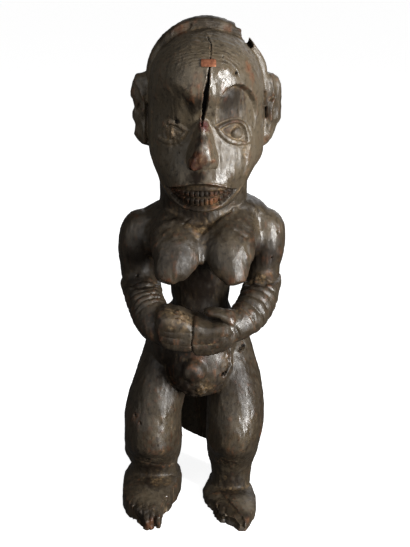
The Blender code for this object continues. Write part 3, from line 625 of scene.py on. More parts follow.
def block():
    """One closed surface round all the masses, softened where they meet."""
    points, faces = [], []
    for mass_points, mass_faces in masses():
        faces += [tuple(index + len(points) for index in face) for face in mass_faces]
        points += list(mass_points)
    thing = object_from("figure", (points, faces))
    remesh = thing.modifiers.new("one skin", "REMESH")
    remesh.mode = "VOXEL"
    remesh.voxel_size = VOXEL * MM
    smooth = thing.modifiers.new("soften", "SMOOTH")
    smooth.factor = SMOOTH_FACTOR
    smooth.iterations = SMOOTH_PASSES
    baked(thing)
    return thing


def step(value, low, high):
    """A smooth rise from 0 at low to 1 at high."""
    t = np.clip((value - low) / (high - low), 0.0, 1.0)
    return t * t * (3.0 - 2.0 * t)


def fade(value, low, high):
    """A smooth fall from 1 at low to 0 at high."""
    return step(-value, -high, -low)


def bell(value, width):
    """1 where the value is 0, fading over the width to either side."""
    return np.exp(-(value / width) ** 2)


def away_from(points, path):
    """How far each point lies from a path, in as many directions as the path has, and where along it."""
    path = np.array(path, float)
    nearest = np.full(len(points), 1e9)
    along = np.zeros(len(points))
    for number, (start, end) in enumerate(zip(path[:-1], path[1:])):
        run = end - start
        t = np.clip(((points - start) @ run) / (run @ run), 0.0, 1.0)
        gap = np.linalg.norm(points - start - t[:, None] * run, axis=1)
        closer = gap < nearest
        nearest[closer] = gap[closer]
        along[closer] = number + t[closer]
    return nearest, along


def corner_value(ix, iy, iz, seed):
    """A steady value between 0 and 1 for each corner of a lattice, without any pattern."""
    mixed = (ix * 374761393 + iy * 668265263 + iz * 1911520717 + seed * 1274126177) & 0xFFFFFFFF
    mixed = ((mixed ^ (mixed >> 13)) * 1103515245) & 0xFFFFFFFF
    return ((mixed ^ (mixed >> 16)) & 0xFFFF) / 65535.0


def rough(points, cell, seed):
    """Smooth unevenness between -1 and 1, whose lumps are about a cell in size."""
    spot = points / np.array(cell) + 500.0
    low = np.floor(spot).astype(np.int64)
    t = spot - low
    t = t * t * (3.0 - 2.0 * t)
    total = np.zeros(len(points))
    for dx in (0, 1):
        for dy in (0, 1):
            for dz in (0, 1):
                weight = np.abs(1 - dx - t[:, 0]) * np.abs(1 - dy - t[:, 1]) * np.abs(1 - dz - t[:, 2])
                total += weight * corner_value(low[:, 0] + dx, low[:, 1] + dy, low[:, 2] + dz, seed)
    return 2.0 * total - 1.0


def scoops(points, cell, seed):
    """Shallow hollows with ridges between, as an adze leaves them: 0 in a hollow's middle, 1 on a ridge."""
    spot = points / np.array(cell) + 500.0
    low = np.floor(spot).astype(np.int64)
    nearest = np.full(len(points), 9.0)
    for dx in (-1, 0, 1):
        for dy in (-1, 0, 1):
            for dz in (-1, 0, 1):
                x, y, z = low[:, 0] + dx, low[:, 1] + dy, low[:, 2] + dz
                offset = [corner_value(x, y, z, seed + axis) for axis in range(3)]
                middle = np.column_stack([x + offset[0], y + offset[1], z + offset[2]])
                nearest = np.minimum(nearest, ((spot - middle) ** 2).sum(axis=1))
    return np.clip(nearest, 0.0, 1.0)


def socket(x, z, side):
    """The hollow under the brow: an arch above, dying out on the cheek."""
    centre_x, centre_z = BROW[side]
    half_x, half_z = BROW_HALF
    inner, outer = BROW_EDGE[side]
    reach = np.hypot((x - centre_x) / half_x, (z - centre_z) / half_z)
    return step(-reach, -outer, -inner) * step(z, *SOCKET_FADE)


def ear_relief(points, side):
    """The ridge down the front of an ear, the cuts beside the head and the hacked surface between."""
    x, y, z = points.T
    front = points[:, [0, 2]]
    own = step(SIDES[side] * (x - HEAD_X), 56.0, 58.5) * step(z, 392.0, 397.0) * fade(z, 463.0, 468.0)
    ridge = EAR_RIDGE_HIGH * bell(away_from(front, EAR_RIDGE[side])[0], 1.7)
    cuts = sum(fade(away_from(front, path)[0], 0.6, 1.3) for path in EAR_CUTS[side])
    hacked = EAR_ROUGH * (scoops(points, (8.0, 8.0, 12.0), 51) - 0.4)
    return own * (hacked + step(-y, -4.0, 0.0) * (ridge - EAR_CUT_DEEP * cuts))


def inside_arcs(along, over, half, rise, fall):
    """How far each point lies inside the lens between an upper and a lower arc."""
    bow = 1.0 - (along / half) ** 2
    top = (rise * bow - over) / np.hypot(1.0, 2.0 * rise * along / half ** 2)
    bottom = (fall * bow + over) / np.hypot(1.0, 2.0 * fall * along / half ** 2)
    return np.minimum(top, bottom)


def eye(x, z, side):
    """A raised lid all round, a scribed line outside it, and a sunk eyeball with a disc for the pupil."""
    centre_x, centre_z, half, rise, fall, tilt = EYE[side]
    turn = math.radians(tilt)
    along = (x - centre_x) * math.cos(turn) + (z - centre_z) * math.sin(turn)
    over = (z - centre_z) * math.cos(turn) - (x - centre_x) * math.sin(turn)
    outer = inside_arcs(along, over, half, rise, fall)
    inner = inside_arcs(along, over, *EYE_OPENING[side])
    lids = LID_HIGH * step(outer, -LID_SOFT, 2.0 * LID_SOFT) * step(-inner, -LID_SOFT, LID_SOFT)
    scribed = SCRIBED_DEEP * bell(outer + 1.2, 0.7)
    ball = step(inner, -0.2, 0.9) * (BALL_DOME * step(inner, 0.5, 6.0) - BALL_DEEP)
    pupil_x, pupil_z, radius = PUPIL[side]
    disc = np.hypot(x - pupil_x, z - pupil_z)
    pupil = PUPIL_HIGH * step(-disc, -radius, 0.8 - radius) - PUPIL_RING_DEEP * bell(disc - radius - 0.5, 0.6)
    return EYE_CRISP[side] * (lids - scribed + ball + pupil * step(inner, 0.0, 1.0))


def mouth_place(x, z):
    """Where each point lies between the lower lip, 0, and the upper lip, 1, and how far it is sideways."""
    swing = np.clip(np.abs(x - MOUTH_X) / MOUTH_HALF, 0.0, 1.0)
    curve = np.where(x < MOUTH_X, LOWER_CURVE["left"], LOWER_CURVE["right"])
    upper = UPPER_LIP + (LIP_CORNER - UPPER_LIP) * swing ** UPPER_CURVE
    lower = LOWER_LIP + (LIP_CORNER - LOWER_LIP) * swing ** curve
    return (z - lower) / np.maximum(upper - lower, 0.5), swing ** 2


def mouth(x, z):
    """A long crescent sunk behind thin lips, with two rows of square teeth."""
    height, swing = mouth_place(x, z)
    inside = step(height, -0.01, 0.06) * fade(height, 0.93, 1.0) * fade(swing, 0.93, 1.0)
    rim = bell(height - 1.03, LIP_WIDE) + bell(height + 0.03, LIP_WIDE)
    across = np.abs((x - MOUTH_X) / TOOTH_WIDE - np.round((x - MOUTH_X) / TOOTH_WIDE)) * TOOTH_WIDE
    columns = step(-across, -0.5 * TOOTH_WIDE + 0.15, 0.9 * TOOTH_GAP - 0.5 * TOOTH_WIDE + 0.15)
    rows = sum(step(-np.abs(height - middle), -half, 0.05 - half) for middle, half in TEETH_ROWS)
    lips = LIP_HIGH * rim * fade(swing, 0.85, 1.0)
    return inside * (TEETH_HIGH * rows * (0.4 + 0.6 * columns) - MOUTH_DEEP) + lips


def face_forms(points):
    x, y, z = points.T
    forward = step(-y, 14.0, 26.0) * step(z, 325.0, 335.0)
    return -forward * sum(SOCKET_DEEP[side] * socket(x, z, side) for side in SIDES)


def face_details(points):
    """Lids, teeth, the ridges that frame the face and the lump at the root of the nose."""
    x, y, z = points.T
    forward = step(-y, 14.0, 26.0) * step(z, 325.0, 335.0)
    eyes = sum(eye(x, z, side) for side in SIDES)
    lump_x, lump_z, half_x, half_z = NOSE_ROOT
    lump = NOSE_ROOT_HIGH * step(-np.hypot((x - lump_x) / half_x, (z - lump_z) / half_z), -1.15, -0.75)
    front = points[:, [0, 2]]
    ridges = sum(JAW_HIGH * bell(away_from(front, JAW[side])[0], JAW_WIDE) for side in SIDES)
    cheek = CHEEK_RIDGE_HIGH * bell(away_from(front, CHEEK_RIDGE)[0], 1.6)
    return forward * (eyes + mouth(x, z) + lump + cheek + ridges)


def forehead_split(points):
    """The crack, with edges that wander and a thin raised lip beside it."""
    x, y, z = points.T
    flat = np.column_stack([x + 0.45 * rough(points, (3.0, 3.0, 5.0), 31), z])
    path = [row[:2] for row in CRACK]
    gap, along = away_from(flat, path)
    half = np.interp(along, range(len(CRACK)), [row[2] for row in CRACK])
    lip = 0.5 * bell(gap - half - 0.9, 0.8)
    return step(-y, 20.0, 30.0) * (lip - CRACK_DEEP * step(-gap, -half - 0.25, 0.35 - half))


def throat_forms(points):
    """The edge where the breast plate starts, and the hollow above it."""
    x, y, z = points.T
    forward = step(-y, 8.0, 20.0) * fade(z, 334.0, 340.0)
    edge = np.interp(x, [point[0] for point in THROAT], [point[1] for point in THROAT])
    above = step(z - edge, 0.5, 3.5) * fade(np.abs(x), 30.0, 46.0)
    ledge = bell(away_from(points[:, [0, 2]], THROAT)[0], 1.9)
    return forward * (THROAT_EDGE_HIGH * ledge - THROAT_DEEP * above)


def back_forms(points):
    """The groove of the spine and the cleft of the buttocks, on the plain back."""
    x, y, z = points.T
    behind = step(y, 14.0, 26.0)
    spine_x = np.interp(z, [200.0, 310.0], [HIP_X + 1.0, HEAD_X])
    spine = bell(x - spine_x, 5.0) * step(z, 188.0, 210.0) * fade(z, 300.0, 322.0)
    cleft = bell(x - HIP_X, 3.0) * step(z, 140.0, 150.0) * fade(z, 176.0, 190.0)
    hairline = bell(z - HAIRLINE_Z, 3.0) * fade(np.abs(x), 44.0, 60.0)
    return -behind * (SPINE_DEEP * spine + CLEFT_DEEP * cleft + HAIRLINE_DEEP * hairline)


def arm_rings(points, side):
    """Raised rings round the forearm, square to its path, and the ledge of the cuff above them."""
    path = between(FOREARM[side])[:, :3]
    gap, place = away_from(points, path)
    length = np.concatenate([[0.0], np.cumsum(np.linalg.norm(np.diff(path, axis=0), axis=1))])
    along = np.interp(place, range(len(path)), length) + 1.3 * rough(points, (12.0, 12.0, 12.0), 12)
    start, end, pitch, high = RINGS[side]
    close = fade(gap, 24.0, 27.0)
    span = step(along, start - 2.0, start + 2.0) * step(-along, -end, 4.0 - end)
    turn = np.mod((along - start) / pitch, 1.0)
    swell = 0.9 * np.sqrt(np.abs(np.sin(math.pi * turn))) * 2.0 - 1.1
    below = CUFF_AT[side] + ELBOW_Z - points[:, 2] + 1.5 * rough(points, (14.0, 14.0, 14.0), 13)
    cuff = CUFF_HIGH * step(below, -1.2, 1.2) * fade(below, 2.0, 14.0)
    crease = 1.0 * bell(below + 2.2, 1.6)
    return close * high * span * swell + fade(gap, 26.0, 30.0) * (cuff - crease)


def hands(points):
    """The cuts between the fingers, and the seam where the two hands meet."""
    x, y, z = points.T
    front = points[:, [0, 2]] + 0.5 * rough(points, (6.0, 6.0, 6.0), 14)[:, None]
    forward = step(-y, 56.0, 66.0) * step(z, 186.0, 192.0) * fade(z, 240.0, 246.0)
    cuts = np.zeros(len(points))
    for side, sign in SIDES.items():
        own = sign * (x - SEAM[1][0]) > 0.0
        for path in FINGER_CUTS[side]:
            cuts += own * bell(away_from(front, path)[0], 0.9)
    broken = 0.6 + 0.6 * rough(points, (9.0, 9.0, 4.0), 19)
    return -forward * (FINGER_CUT_DEEP * cuts * broken + SEAM_DEEP * bell(away_from(front, SEAM)[0], 0.65))


def toes(points, side):
    """Cuts between the toes, ragged where they broke."""
    x, y, z = points.T
    flat = points[:, [0, 1]] + 0.6 * rough(points, (3.0, 3.0, 3.0), 17)[:, None]
    low = step(-y, 56.0, 66.0) * fade(z, 14.0, 22.0)
    return -low * TOE_CUT_DEEP * sum(bell(away_from(flat, path)[0], 1.1) for path in TOE_CUTS[side])


def instep(points):
    """The right foot falls away in a step to the left of a ridge."""
    x, y, z = points.T
    edge = np.interp(-y, [-row[1] for row in INSTEP_EDGE], [row[0] for row in INSTEP_EDGE])
    beside = step(edge - x, 0.0, 1.8) * step(x, -4.0, 6.0)
    return -INSTEP_STEP * beside * step(-y, 44.0, 54.0) * fade(z, 16.0, 24.0) * step(z, 1.0, 4.0)


def body_details(points):
    """Scars, the left knee's crease, the belly's rim, the split beside it and the groove in the stub."""
    x, y, z = points.T
    front = points[:, [0, 2]] + 0.5 * rough(points, (4.0, 4.0, 4.0), 15)[:, None]
    ahead = step(-y, 12.0, 24.0)
    scars = sum(bell(away_from(front, path)[0], 0.9) for path in SCARS)
    crease = bell(away_from(front, KNEE_CREASE)[0], 1.6)
    rim = bell(away_from(front, BELLY_RIM)[0], 1.5)
    split = fade(away_from(front, HIP_SPLIT)[0], 0.9, 1.7)
    stub = step(y, 16.0, 24.0) * fade(y, 34.0, 42.0)
    groove = bell(away_from(front, STUB_GROOVE)[0], 1.4)
    return -ahead * (0.9 * scars + 1.2 * crease + 1.4 * rim + 4.0 * split) - 2.0 * stub * groove


def crust(points):
    """Rough, flaking skin on the crusty spots."""
    total = np.zeros(len(points))
    for x, y, z, radius, height in CRUSTY:
        reach = np.linalg.norm(points - np.array([x, y, z]), axis=1) / radius
        near = reach < 1.2
        grit = rough(points[near], (2.6, 2.6, 3.2), 61) + 0.6 * rough(points[near], (5.5, 5.5, 7.0), 62)
        total[near] += height * fade(reach[near], 0.5, 1.0) * grit
    return total


def holes(points):
    total = np.zeros(len(points))
    for x, y, z, radius, depth in HOLES:
        gap = np.linalg.norm(points - np.array([x, y, z]), axis=1)
        near = gap < 12.0
        sideways = np.hypot(points[near, 0] - x, points[near, 2] - z)
        total[near] -= depth * step(-sideways, -radius - 0.3, 0.3 - radius)
    return total


def first_pass(points):
    """The broad relief: sockets, throat, back, instep, forearm rings and ears."""
    sides = sum(arm_rings(points, side) * (points[:, 0] * sign > 10.0) + ear_relief(points, side)
                for side, sign in SIDES.items())
    return face_forms(points) + throat_forms(points) + back_forms(points) + instep(points) + sides


def tool_marks(points):
    """Adze scoops, unevenness, fine roughness and grain, fainter on the face and hands."""
    x, y, z = points.T
    face = step(z, 336.0, 346.0) * fade(z, 425.0, 440.0)
    fists = step(z, 190.0, 198.0) * fade(z, 238.0, 245.0)
    delicate = step(-y, 20.0, 40.0) * (face + fists)
    broad = 1.0 - 0.75 * np.clip(delicate, 0.0, 1.0)
    marks = ADZE_DEEP * (scoops(points, ADZE_CELL, 1) - 0.35) + UNEVEN_HIGH * rough(points, UNEVEN_CELL, 5)
    fine, grain = FINE_HIGH * rough(points, FINE_CELL, 7), GRAIN_HIGH * rough(points, GRAIN_CELL, 9)
    return broad * marks + fine + grain


def second_pass(points):
    """The finer relief, over the broad forms."""
    return (tool_marks(points) + face_details(points) + hands(points) + body_details(points) + crust(points)
            + sum(toes(points, side) for side in SIDES))


def third_pass(points):
    """What goes in deepest: the split and the insect holes."""
    return forehead_split(points) + holes(points)


def read(mesh, name):
    flat = np.empty(len(mesh.vertices) * 3)
    mesh.vertices.foreach_get(name, flat)
    return flat.reshape(-1, 3)


def carve(mesh, relief):
    """Move the surface in and out by the depth of the carving."""
    points = read(mesh, "co") / MM
    points += read(mesh, "normal") * relief(points)[:, None]
    mesh.vertices.foreach_set("co", (points * MM).ravel())
    mesh.update()


def strip_depth(x):
    """How far the strip bends back from its middle, at a place along it."""
    return CLIP_BULGE * (1.0 - np.sqrt(1.0 - np.clip(x / CLIP_BEND, -0.9, 0.9) ** 2))


def bed_the_strip(mesh):
    """Press the wood back behind the copper strip, GAP clear of it."""
    points = read(mesh, "co") / MM
    x, z = points[:, 0] - CLIP_X, points[:, 2] - CLIP_Z
    under = (np.abs(x) < CLIP_LONG / 2.0 + GAP) & (np.abs(z) < CLIP_HIGH / 2.0 + GAP) & (points[:, 1] < -40.0)
    floor_y = CLIP_Y + strip_depth(x) + CLIP_SLOPE * z + GAP
    points[under, 1] = np.maximum(points[under, 1], floor_y[under])
    mesh.vertices.foreach_set("co", (points * MM).ravel())
    mesh.update()


def thinned(thing):
    """The same surface in fewer faces, most of them where the carving is fine."""
    thin = thing.modifiers.new("fewer faces", "DECIMATE")
    thin.ratio = FIGURE_TRIANGLES / (2.0 * len(thing.data.polygons))
    baked(thing)


def seat(mesh):
    """Move the figure onto the frame's figure, by where the copper strip is there, and keep it in its box."""
    strip_low, strip_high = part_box("forehead_clip")
    strip_front = CLIP_Y - CLIP_THICK - CLIP_SLOPE * CLIP_HIGH / 2.0
    shift_x = (strip_low[0] + strip_high[0]) / 2.0 - CLIP_X * MM
    shift = np.array([shift_x, strip_low[1] - strip_front * MM, 0.0])
    low, high = (np.array(corner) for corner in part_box("figure"))
    points = np.clip(read(mesh, "co") + shift, low, high)
    mesh.vertices.foreach_set("co", points.ravel())
    mesh.update()
    return shift


def eased(thing):
    """Even out the creases where the masses meet, in soft-edged spots."""
    points = read(thing.data, "co") / MM
    weight = np.zeros(len(points))
    for x, y, z, radius in EASED:
        reach = np.linalg.norm(points - np.array([x, y, z]), axis=1) / radius
        weight = np.maximum(weight, fade(reach, 0.5, 1.0))
    group = thing.vertex_groups.new(name="creases")
    for share in (0.25, 0.5, 0.75, 1.0):
        chosen = np.flatnonzero(np.abs(weight - share) <= 0.125)
        group.add(chosen.tolist(), share, "REPLACE")
    smooth = thing.modifiers.new("ease", "SMOOTH")
    smooth.factor = SMOOTH_FACTOR
    smooth.iterations = EASING_PASSES
    smooth.vertex_group = group.name
    baked(thing)


def neighbours(mesh):
    """Both ends of every edge."""
    ends = np.empty(len(mesh.edges) * 2, dtype=np.int64)
    mesh.edges.foreach_get("vertices", ends)
    return ends.reshape(-1, 2)


def softened(values, ends, passes):
    """The values spread over the surface by averaging over its edges."""
    count = np.bincount(ends.ravel(), minlength=len(values)).astype(float)[:, None]
    for _ in range(passes):
        total = np.column_stack([np.bincount(ends[:, 0], column[ends[:, 1]], len(values))
                                 + np.bincount(ends[:, 1], column[ends[:, 0]], len(values))
                                 for column in values.T])
        values = 0.5 * values + 0.5 * total / count
    return values


def hollowness(mesh, ends, passes):
    """How far each point lies below its softened surroundings, in millimetres: above 0 in a crevice."""
    points = read(mesh, "co") / MM
    return ((softened(points, ends, passes) - points) * read(mesh, "normal")).sum(axis=1)


# Patches of the finish: x, y, z of the middle, radius and strength
DUSTY = [(-22, -72, 231, 13, 1.0), (-36, -70, 236, 9, 0.7), (-9, -40, 314, 7, 1.0), (-1, -35, 315, 6, 1.0),
         (7, -31, 320, 6, 0.9), (17, -26, 329, 6, 0.8), (-17, -37, 321, 5, 0.6), (59, -24, 263, 5, 0.8),
         (47, -27, 255, 5, 0.7), (-20, -75, 236, 9, 0.9), (-33, -80, 234, 8, 0.8), (-12, -83, 180, 6, 1.0),
         (10, -73, 190, 12, 0.35), (22, -60, 200, 7, 0.8), (24, -50, 178, 9, 0.6), (-4, -76, 398, 8, 0.6),
         (-32, -50, 416, 14, 0.75), (30, -50, 417, 11, 0.9), (60, -22, 257, 10, 0.9),
         (40, -45, 401, 9, 0.5), (-44, -64, 76, 6, 0.6), (22, -60, 86, 9, 0.3), (-52, -41, 29, 9, 0.7),
         (-40, -38, 29, 8, 0.7), (32, -41, 14, 9, 0.35), (5, -60, 345, 16, 0.5), (0, -60, 150, 12, 0.5),
         (14, -64, 277, 7, 0.6)]
WORN = [(-23, -7, 508, 10, 0.35), (22, -6, 510, 6, 0.4), (41, -43, 478, 6, 0.7), (45, -42, 468, 6, 0.6),
        (38, -50, 458, 5, 0.7), (-7, -78, 402, 5, 0.25), (-5, -71, 464, 6, 0.6), (-7, -71, 474, 6, 0.4),
        (-58, -92, 6, 9, 0.4), (10, -72, 353, 9, 0.5), (-28, -62, 363, 8, 0.3), (62, -8, 400, 8, 0.4),
        (-4, -46, 278, 8, 0.6), (-37, -69, 274, 4, 0.6), (26, -70, 274, 4, 0.6), (-9, -40, 314, 4, 0.3),
        (10, -74, 393, 4, 0.3), (66, -22, 263, 5, 0.4), (46, -48, 393, 9, 0.3), (60, -43, 88, 5, 0.8),
        (-7, -58, 186, 9, 0.35)]
REDDENED = [(-1, -67, 427, 8, 1.0), (-5, -80, 397, 12, 0.3), (-1, -72, 434, 6, 0.8)]
# Painted shade: dark spots where shade falls, under the breasts and chin, inside the arms, on the waist and
# belly, in the sockets, on the nose and mouth, at the ankles, and on the crest's top, which is darkened
# against the light from above
PAINTED_SHADE_SPOTS = [(-8, -27, 250, 30, 0.95), (-8, -26, 228, 24, 0.8), (-66, -22, 282, 20, 0.7),
         (-70, -29, 256, 18, 0.6), (58, -22, 284, 18, 0.8), (52, -38, 262, 13, 0.5),
         (-8, -26, 327, 24, 0.8), (-34, -20, 335, 14, 0.5), (27, -58, 447, 23, 0.75),
         (24, -56, 431, 18, 0.6), (36, -50, 158, 22, 0.4), (-40, -44, 158, 24, 0.4), (30, -42, 13, 14, 0.7),
         (-6, -62, 172, 22, 0.3), (-41, -45, 155, 16, 0.6), (-20, -72, 212, 14, 0.4),
         (14, -74, 214, 14, 0.3), (-12, -58, 330, 14, 0.6), (50, -10, 280, 16, 0.6),
         (-10, -66, 448, 11, 0.75), (-9, -81, 390, 11, 0.9), (5, -80, 390, 9, 0.7),
         (-9, -67, 378, 11, 0.95), (-36, -48, 160, 20, 0.9), (-16, -58, 145, 24, 0.85),
         (8, -57, 147, 18, 0.7), (-17, 30, 78, 34, 0.3), (42, 12, 494, 8, 0.9), (-23, -6, 508, 10, 0.6),
         (-30, -48, 268, 12, 0.5), (-64, -84, 10, 16, 0.5), (12, -68, 10, 14, 0.5), (-58, -36, 27, 15, 0.6),
         (30, -40, 12, 13, 0.6), (-24, -26, 327, 16, 0.6), (-6, -64, 342, 22, 0.8),
         (-62, -6, 262, 26, 0.45), (-70, -12, 296, 20, 0.35), (-44, -56, 232, 14, 0.3),
         (-30, -80, 206, 18, 0.35), (8, -80, 204, 18, 0.35), (22, -26, 250, 14, 0.6),
         (-3, -74, 416, 9, 0.9), (-6, -80, 397, 13, 0.9), (-58, -40, 36, 20, 0.85), (30, -38, 20, 18, 0.8),
         (-38, -76, 216, 16, 0.5), (-28, -64, 292, 14, 0.4), (60, -28, 262, 14, 0.4),
         (-60, -34, 240, 16, 0.35), (-20, -62, 290, 18, 0.35), (-11.5, -74, 168, 11, 0.85),
         (-36, -52, 178, 22, 0.8), (-36, -3, 503, 16, 0.5), (0, -3, 519, 26, 0.5), (30, -3, 509, 14, 0.5),
         (67, -4, 436, 26, 0.45), (-22, -60, 190, 16, 0.5), (-66, -46, 40, 14, 0.3),
         (20, -22, 192, 16, 0.5), (-44, -44, 226, 12, 0.4), (34, -72, 12, 12, 0.2), (-6, -72, 350, 18, 0.5),
         (-48, -28, 300, 14, 0.45)]
POLISHED = [(14, -68, 468, 22, 1.0), (8, -76, 405, 11, 1.0), (4, -72, 416, 9, 1.0), (22, -64, 372, 12, 0.8),
            (12, -70, 374, 11, 1.0), (58, -16, 312, 20, 0.6), (38, -58, 302, 14, 0.6),
            (44, -64, 104, 26, 0.6), (-47, -64, 108, 22, 0.4), (22, -78, 226, 14, 0.5),
            (68, -6, 430, 26, 0.7), (10, -74, 406, 10, 1.0)]
# Height over which the head turns paler than the body: partly its own greyer tone, partly painted light
PALE_FROM, PALE_FULL = 340.0, 400.0
# Paler grey spots: painted light on the lit shoulder, breast, thighs and feet, and paler spots on the stub
# and the hands
PALE_AND_LIT_SPOTS = [(-12, 26, 80, 38, 0.9), (43, -66, 12, 16, 1.0), (-60, -62, 24, 18, 0.4), (62, -14, 316, 22, 0.6),
          (28, -52, 300, 20, 0.4), (-14, -66, 200, 14, 0.3), (42, -62, 104, 20, 0.4),
          (-44, -62, 106, 20, 0.4)]


def patches(points, spots):
    """Soft-edged patches, broken up by unevenness."""
    total = np.zeros(len(points))
    ragged = 0.35 * rough(points, (4.0, 4.0, 6.0), 21) + 0.25 * rough(points, (1.6, 1.6, 2.4), 22)
    for x, y, z, radius, strength in spots:
        reach = np.linalg.norm(points - np.array([x, y, z]), axis=1) / radius
        total = np.maximum(total, strength * step(-reach + ragged, -1.1, -0.35))
    return total


def mark(mesh, name, values):
    """Store one number for each point, for the material to read."""
    layer = mesh.attributes.new(name, "FLOAT", "POINT")
    layer.data.foreach_set("value", np.clip(values, 0.0, 1.0))


def finish_marks(mesh, shift):
    """Where the skin is dusty, worn, red, polished, scraped or paler, and where shade is painted on it, for
    the material.
    """
    ends = neighbours(mesh)
    close, wide = hollowness(mesh, ends, 4), hollowness(mesh, ends, 24)
    points = (read(mesh, "co") - shift) / MM
    speckle = 0.5 + 0.5 * rough(points, (2.2, 2.2, 3.0), 23)
    broken = 0.5 + 0.5 * rough(points, (9.0, 9.0, 14.0), 24)
    crevice = step(close, 0.05, 0.30) * 0.7 + step(wide, 0.35, 1.3) * 0.5
    front = points[:, [0, 2]]
    ahead = step(-points[:, 1], 14.0, 26.0)
    ridges = sum(bell(away_from(front, JAW[side])[0], 1.4) for side in SIDES)
    dust = 0.6 * crevice * broken ** 2 + patches(points, DUSTY) * (0.25 + 0.75 * speckle ** 2)
    # Paler tan specks along the ridges that frame the face, added to the dust
    dust += 0.45 * ahead * ridges * speckle
    pupil_x, pupil_z, radius = PUPIL["right"]
    from_pupil = np.hypot(front[:, 0] - pupil_x, front[:, 1] - pupil_z)
    dust *= 1.0 - 0.9 * ahead * step(-from_pupil, -radius, 1.0 - radius)
    edges = step(-close, 0.10, 0.34) * step(speckle + broken, 0.9, 1.5)
    mark(mesh, "dust", dust)
    mark(mesh, "worn", 0.25 * edges + patches(points, WORN) * (0.3 + 0.7 * speckle))
    mark(mesh, "red", patches(points, REDDENED))
    height, swing = mouth_place(points[:, 0], points[:, 2])
    in_mouth = step(-points[:, 1], 40.0, 48.0) * (np.abs(height - 0.5) < 0.5) * (swing < 1.0)
    # Painted shade: the dark spots, and the inside of the mouth
    painted_shade = np.maximum(patches(points, PAINTED_SHADE_SPOTS), 0.8 * in_mouth)
    mark(mesh, "painted_shade", painted_shade)
    mark(mesh, "polish", patches(points, POLISHED))
    mark(mesh, "scraped", step(points[:, 2], 476.0, 490.0) * step(-points[:, 1], 0.0, 8.0))
    # Paler skin on the head and on the spots: partly the head's own greyer tone, partly painted light; none
    # under the painted shade
    pale_and_lit = np.maximum(step(points[:, 2], PALE_FROM, PALE_FULL), patches(points, PALE_AND_LIT_SPOTS))
    mark(mesh, "pale", (1.0 - painted_shade) * (0.15 + 0.85 * pale_and_lit))
    # Painted shade: near black deep in the split and the insect holes, and in wide hollows
    mark(mesh, "painted_hollow_shade", step(-third_pass(points), 0.4, 2.5) + 0.6 * step(wide, 1.2, 3.0))


def carved_figure():
    thing = block()
    thing.name = "carved_figure"
    eased(thing)
    for relief in (first_pass, second_pass, third_pass):
        carve(thing.data, relief)
    bed_the_strip(thing.data)
    thinned(thing)
    shift = seat(thing.data)
    finish_marks(thing.data, shift)
    thing.data.shade_smooth()
    return thing, shift


def copper_strip(shift):
    """The bent strip with rounded corners, hammered faces and slightly ragged ends."""
    half_long, half_high = CLIP_LONG / 2.0, CLIP_HIGH / 2.0
    turn = np.linspace(0.0, 2.0 * math.pi, CLIP_ACROSS, endpoint=False)
    outline = np.column_stack([np.sign(np.sin(turn)) * np.abs(np.sin(turn)) ** 0.35,
                               np.sign(np.cos(turn)) * np.abs(np.cos(turn)) ** 0.6])
    rings = []
    for share in np.linspace(-1.0, 1.0, CLIP_ALONG):
        taper = 1.0 - 0.12 * abs(share) ** 14
        high, thick = half_high * taper * outline[:, 0], CLIP_THICK / 2.0 * taper * outline[:, 1]
        x = share * half_long
        y = CLIP_Y + strip_depth(x) - CLIP_THICK / 2.0 - thick + CLIP_SLOPE * high
        rings.append(np.column_stack([np.full(CLIP_ACROSS, CLIP_X + x), y, CLIP_Z + high]))
    points, faces = skin(rings)
    inward = CLIP_HAMMERED * (0.5 + 0.5 * rough(points, (2.4, 2.4, 2.4), 41))
    points[:, 1] += inward
    thing = object_from("copper_strip", (points + shift / MM, faces))
    thing.data.shade_smooth()
    return thing


class Nodes:
    """A short way to write a material: each call adds one node and gives back its output."""

    def __init__(self, name):
        self.material = bpy.data.materials.new(name)
        self.material.use_nodes = True
        self.tree = self.material.node_tree
        self.shader = self.tree.nodes["Principled BSDF"]

    def add(self, kind, settings=(), **inputs):
        node = self.tree.nodes.new(kind)
        for key, value in dict(settings).items():
            setattr(node, key, value)
        for key, value in inputs.items():
            self.feed(node.inputs[int(key[1:])] if key[0] == "i" and key[1:].isdigit()
                      else node.inputs[key.replace("_", " ")], value)
        return node

    def feed(self, socket_in, value):
        if isinstance(value, bpy.types.NodeSocket):
            self.tree.links.new(value, socket_in)
        else:
            socket_in.default_value = value

    def place(self, stretch, shift=(0.0, 0.0, 0.0)):
        """The point on the object, in metres, shifted, and squeezed or stretched along each axis."""
        coords = self.add("ShaderNodeTexCoord").outputs["Object"]
        return self.add("ShaderNodeMapping", Vector=coords, Scale=stretch, Location=shift).outputs[0]

    def noise(self, scale, stretch=(1.0, 1.0, 1.0), detail=6.0, roughness=0.6):
        return self.add("ShaderNodeTexNoise", Vector=self.place(stretch), Scale=scale, Detail=detail,
                        Roughness=roughness).outputs["Fac"]

    def ramp(self, value, *stops):
        node = self.add("ShaderNodeValToRGB", i0=value)
        elements = node.color_ramp.elements
        while len(elements) < len(stops):
            elements.new(0.5)
        for element, (at, colour) in zip(elements, stops):
            element.position = at
            element.color = (*colour, 1.0)
        return node.outputs["Color"]

    def level(self, value, low, high, to_low=0.0, to_high=1.0):
        return self.add("ShaderNodeMapRange", {"interpolation_type": "SMOOTHSTEP"}, i0=value, i1=low, i2=high,
                        i3=to_low, i4=to_high).outputs[0]

    def blend(self, share, first, second):
        node = self.add("ShaderNodeMix", {"data_type": "RGBA"}, i0=share, i6=first, i7=second)
        return node.outputs[2]

    def math(self, how, first, second=0.0):
        return self.add("ShaderNodeMath", {"operation": how}, i0=first, i1=second).outputs[0]

    def marked(self, name):
        return self.add("ShaderNodeAttribute", {"attribute_name": name}).outputs["Fac"]

    def bump(self, height, strength, distance, under=None):
        node = self.add("ShaderNodeBump", Height=height, Strength=strength, Distance=distance)
        if under is not None:
            self.feed(node.inputs["Normal"], under)
        return node.outputs["Normal"]


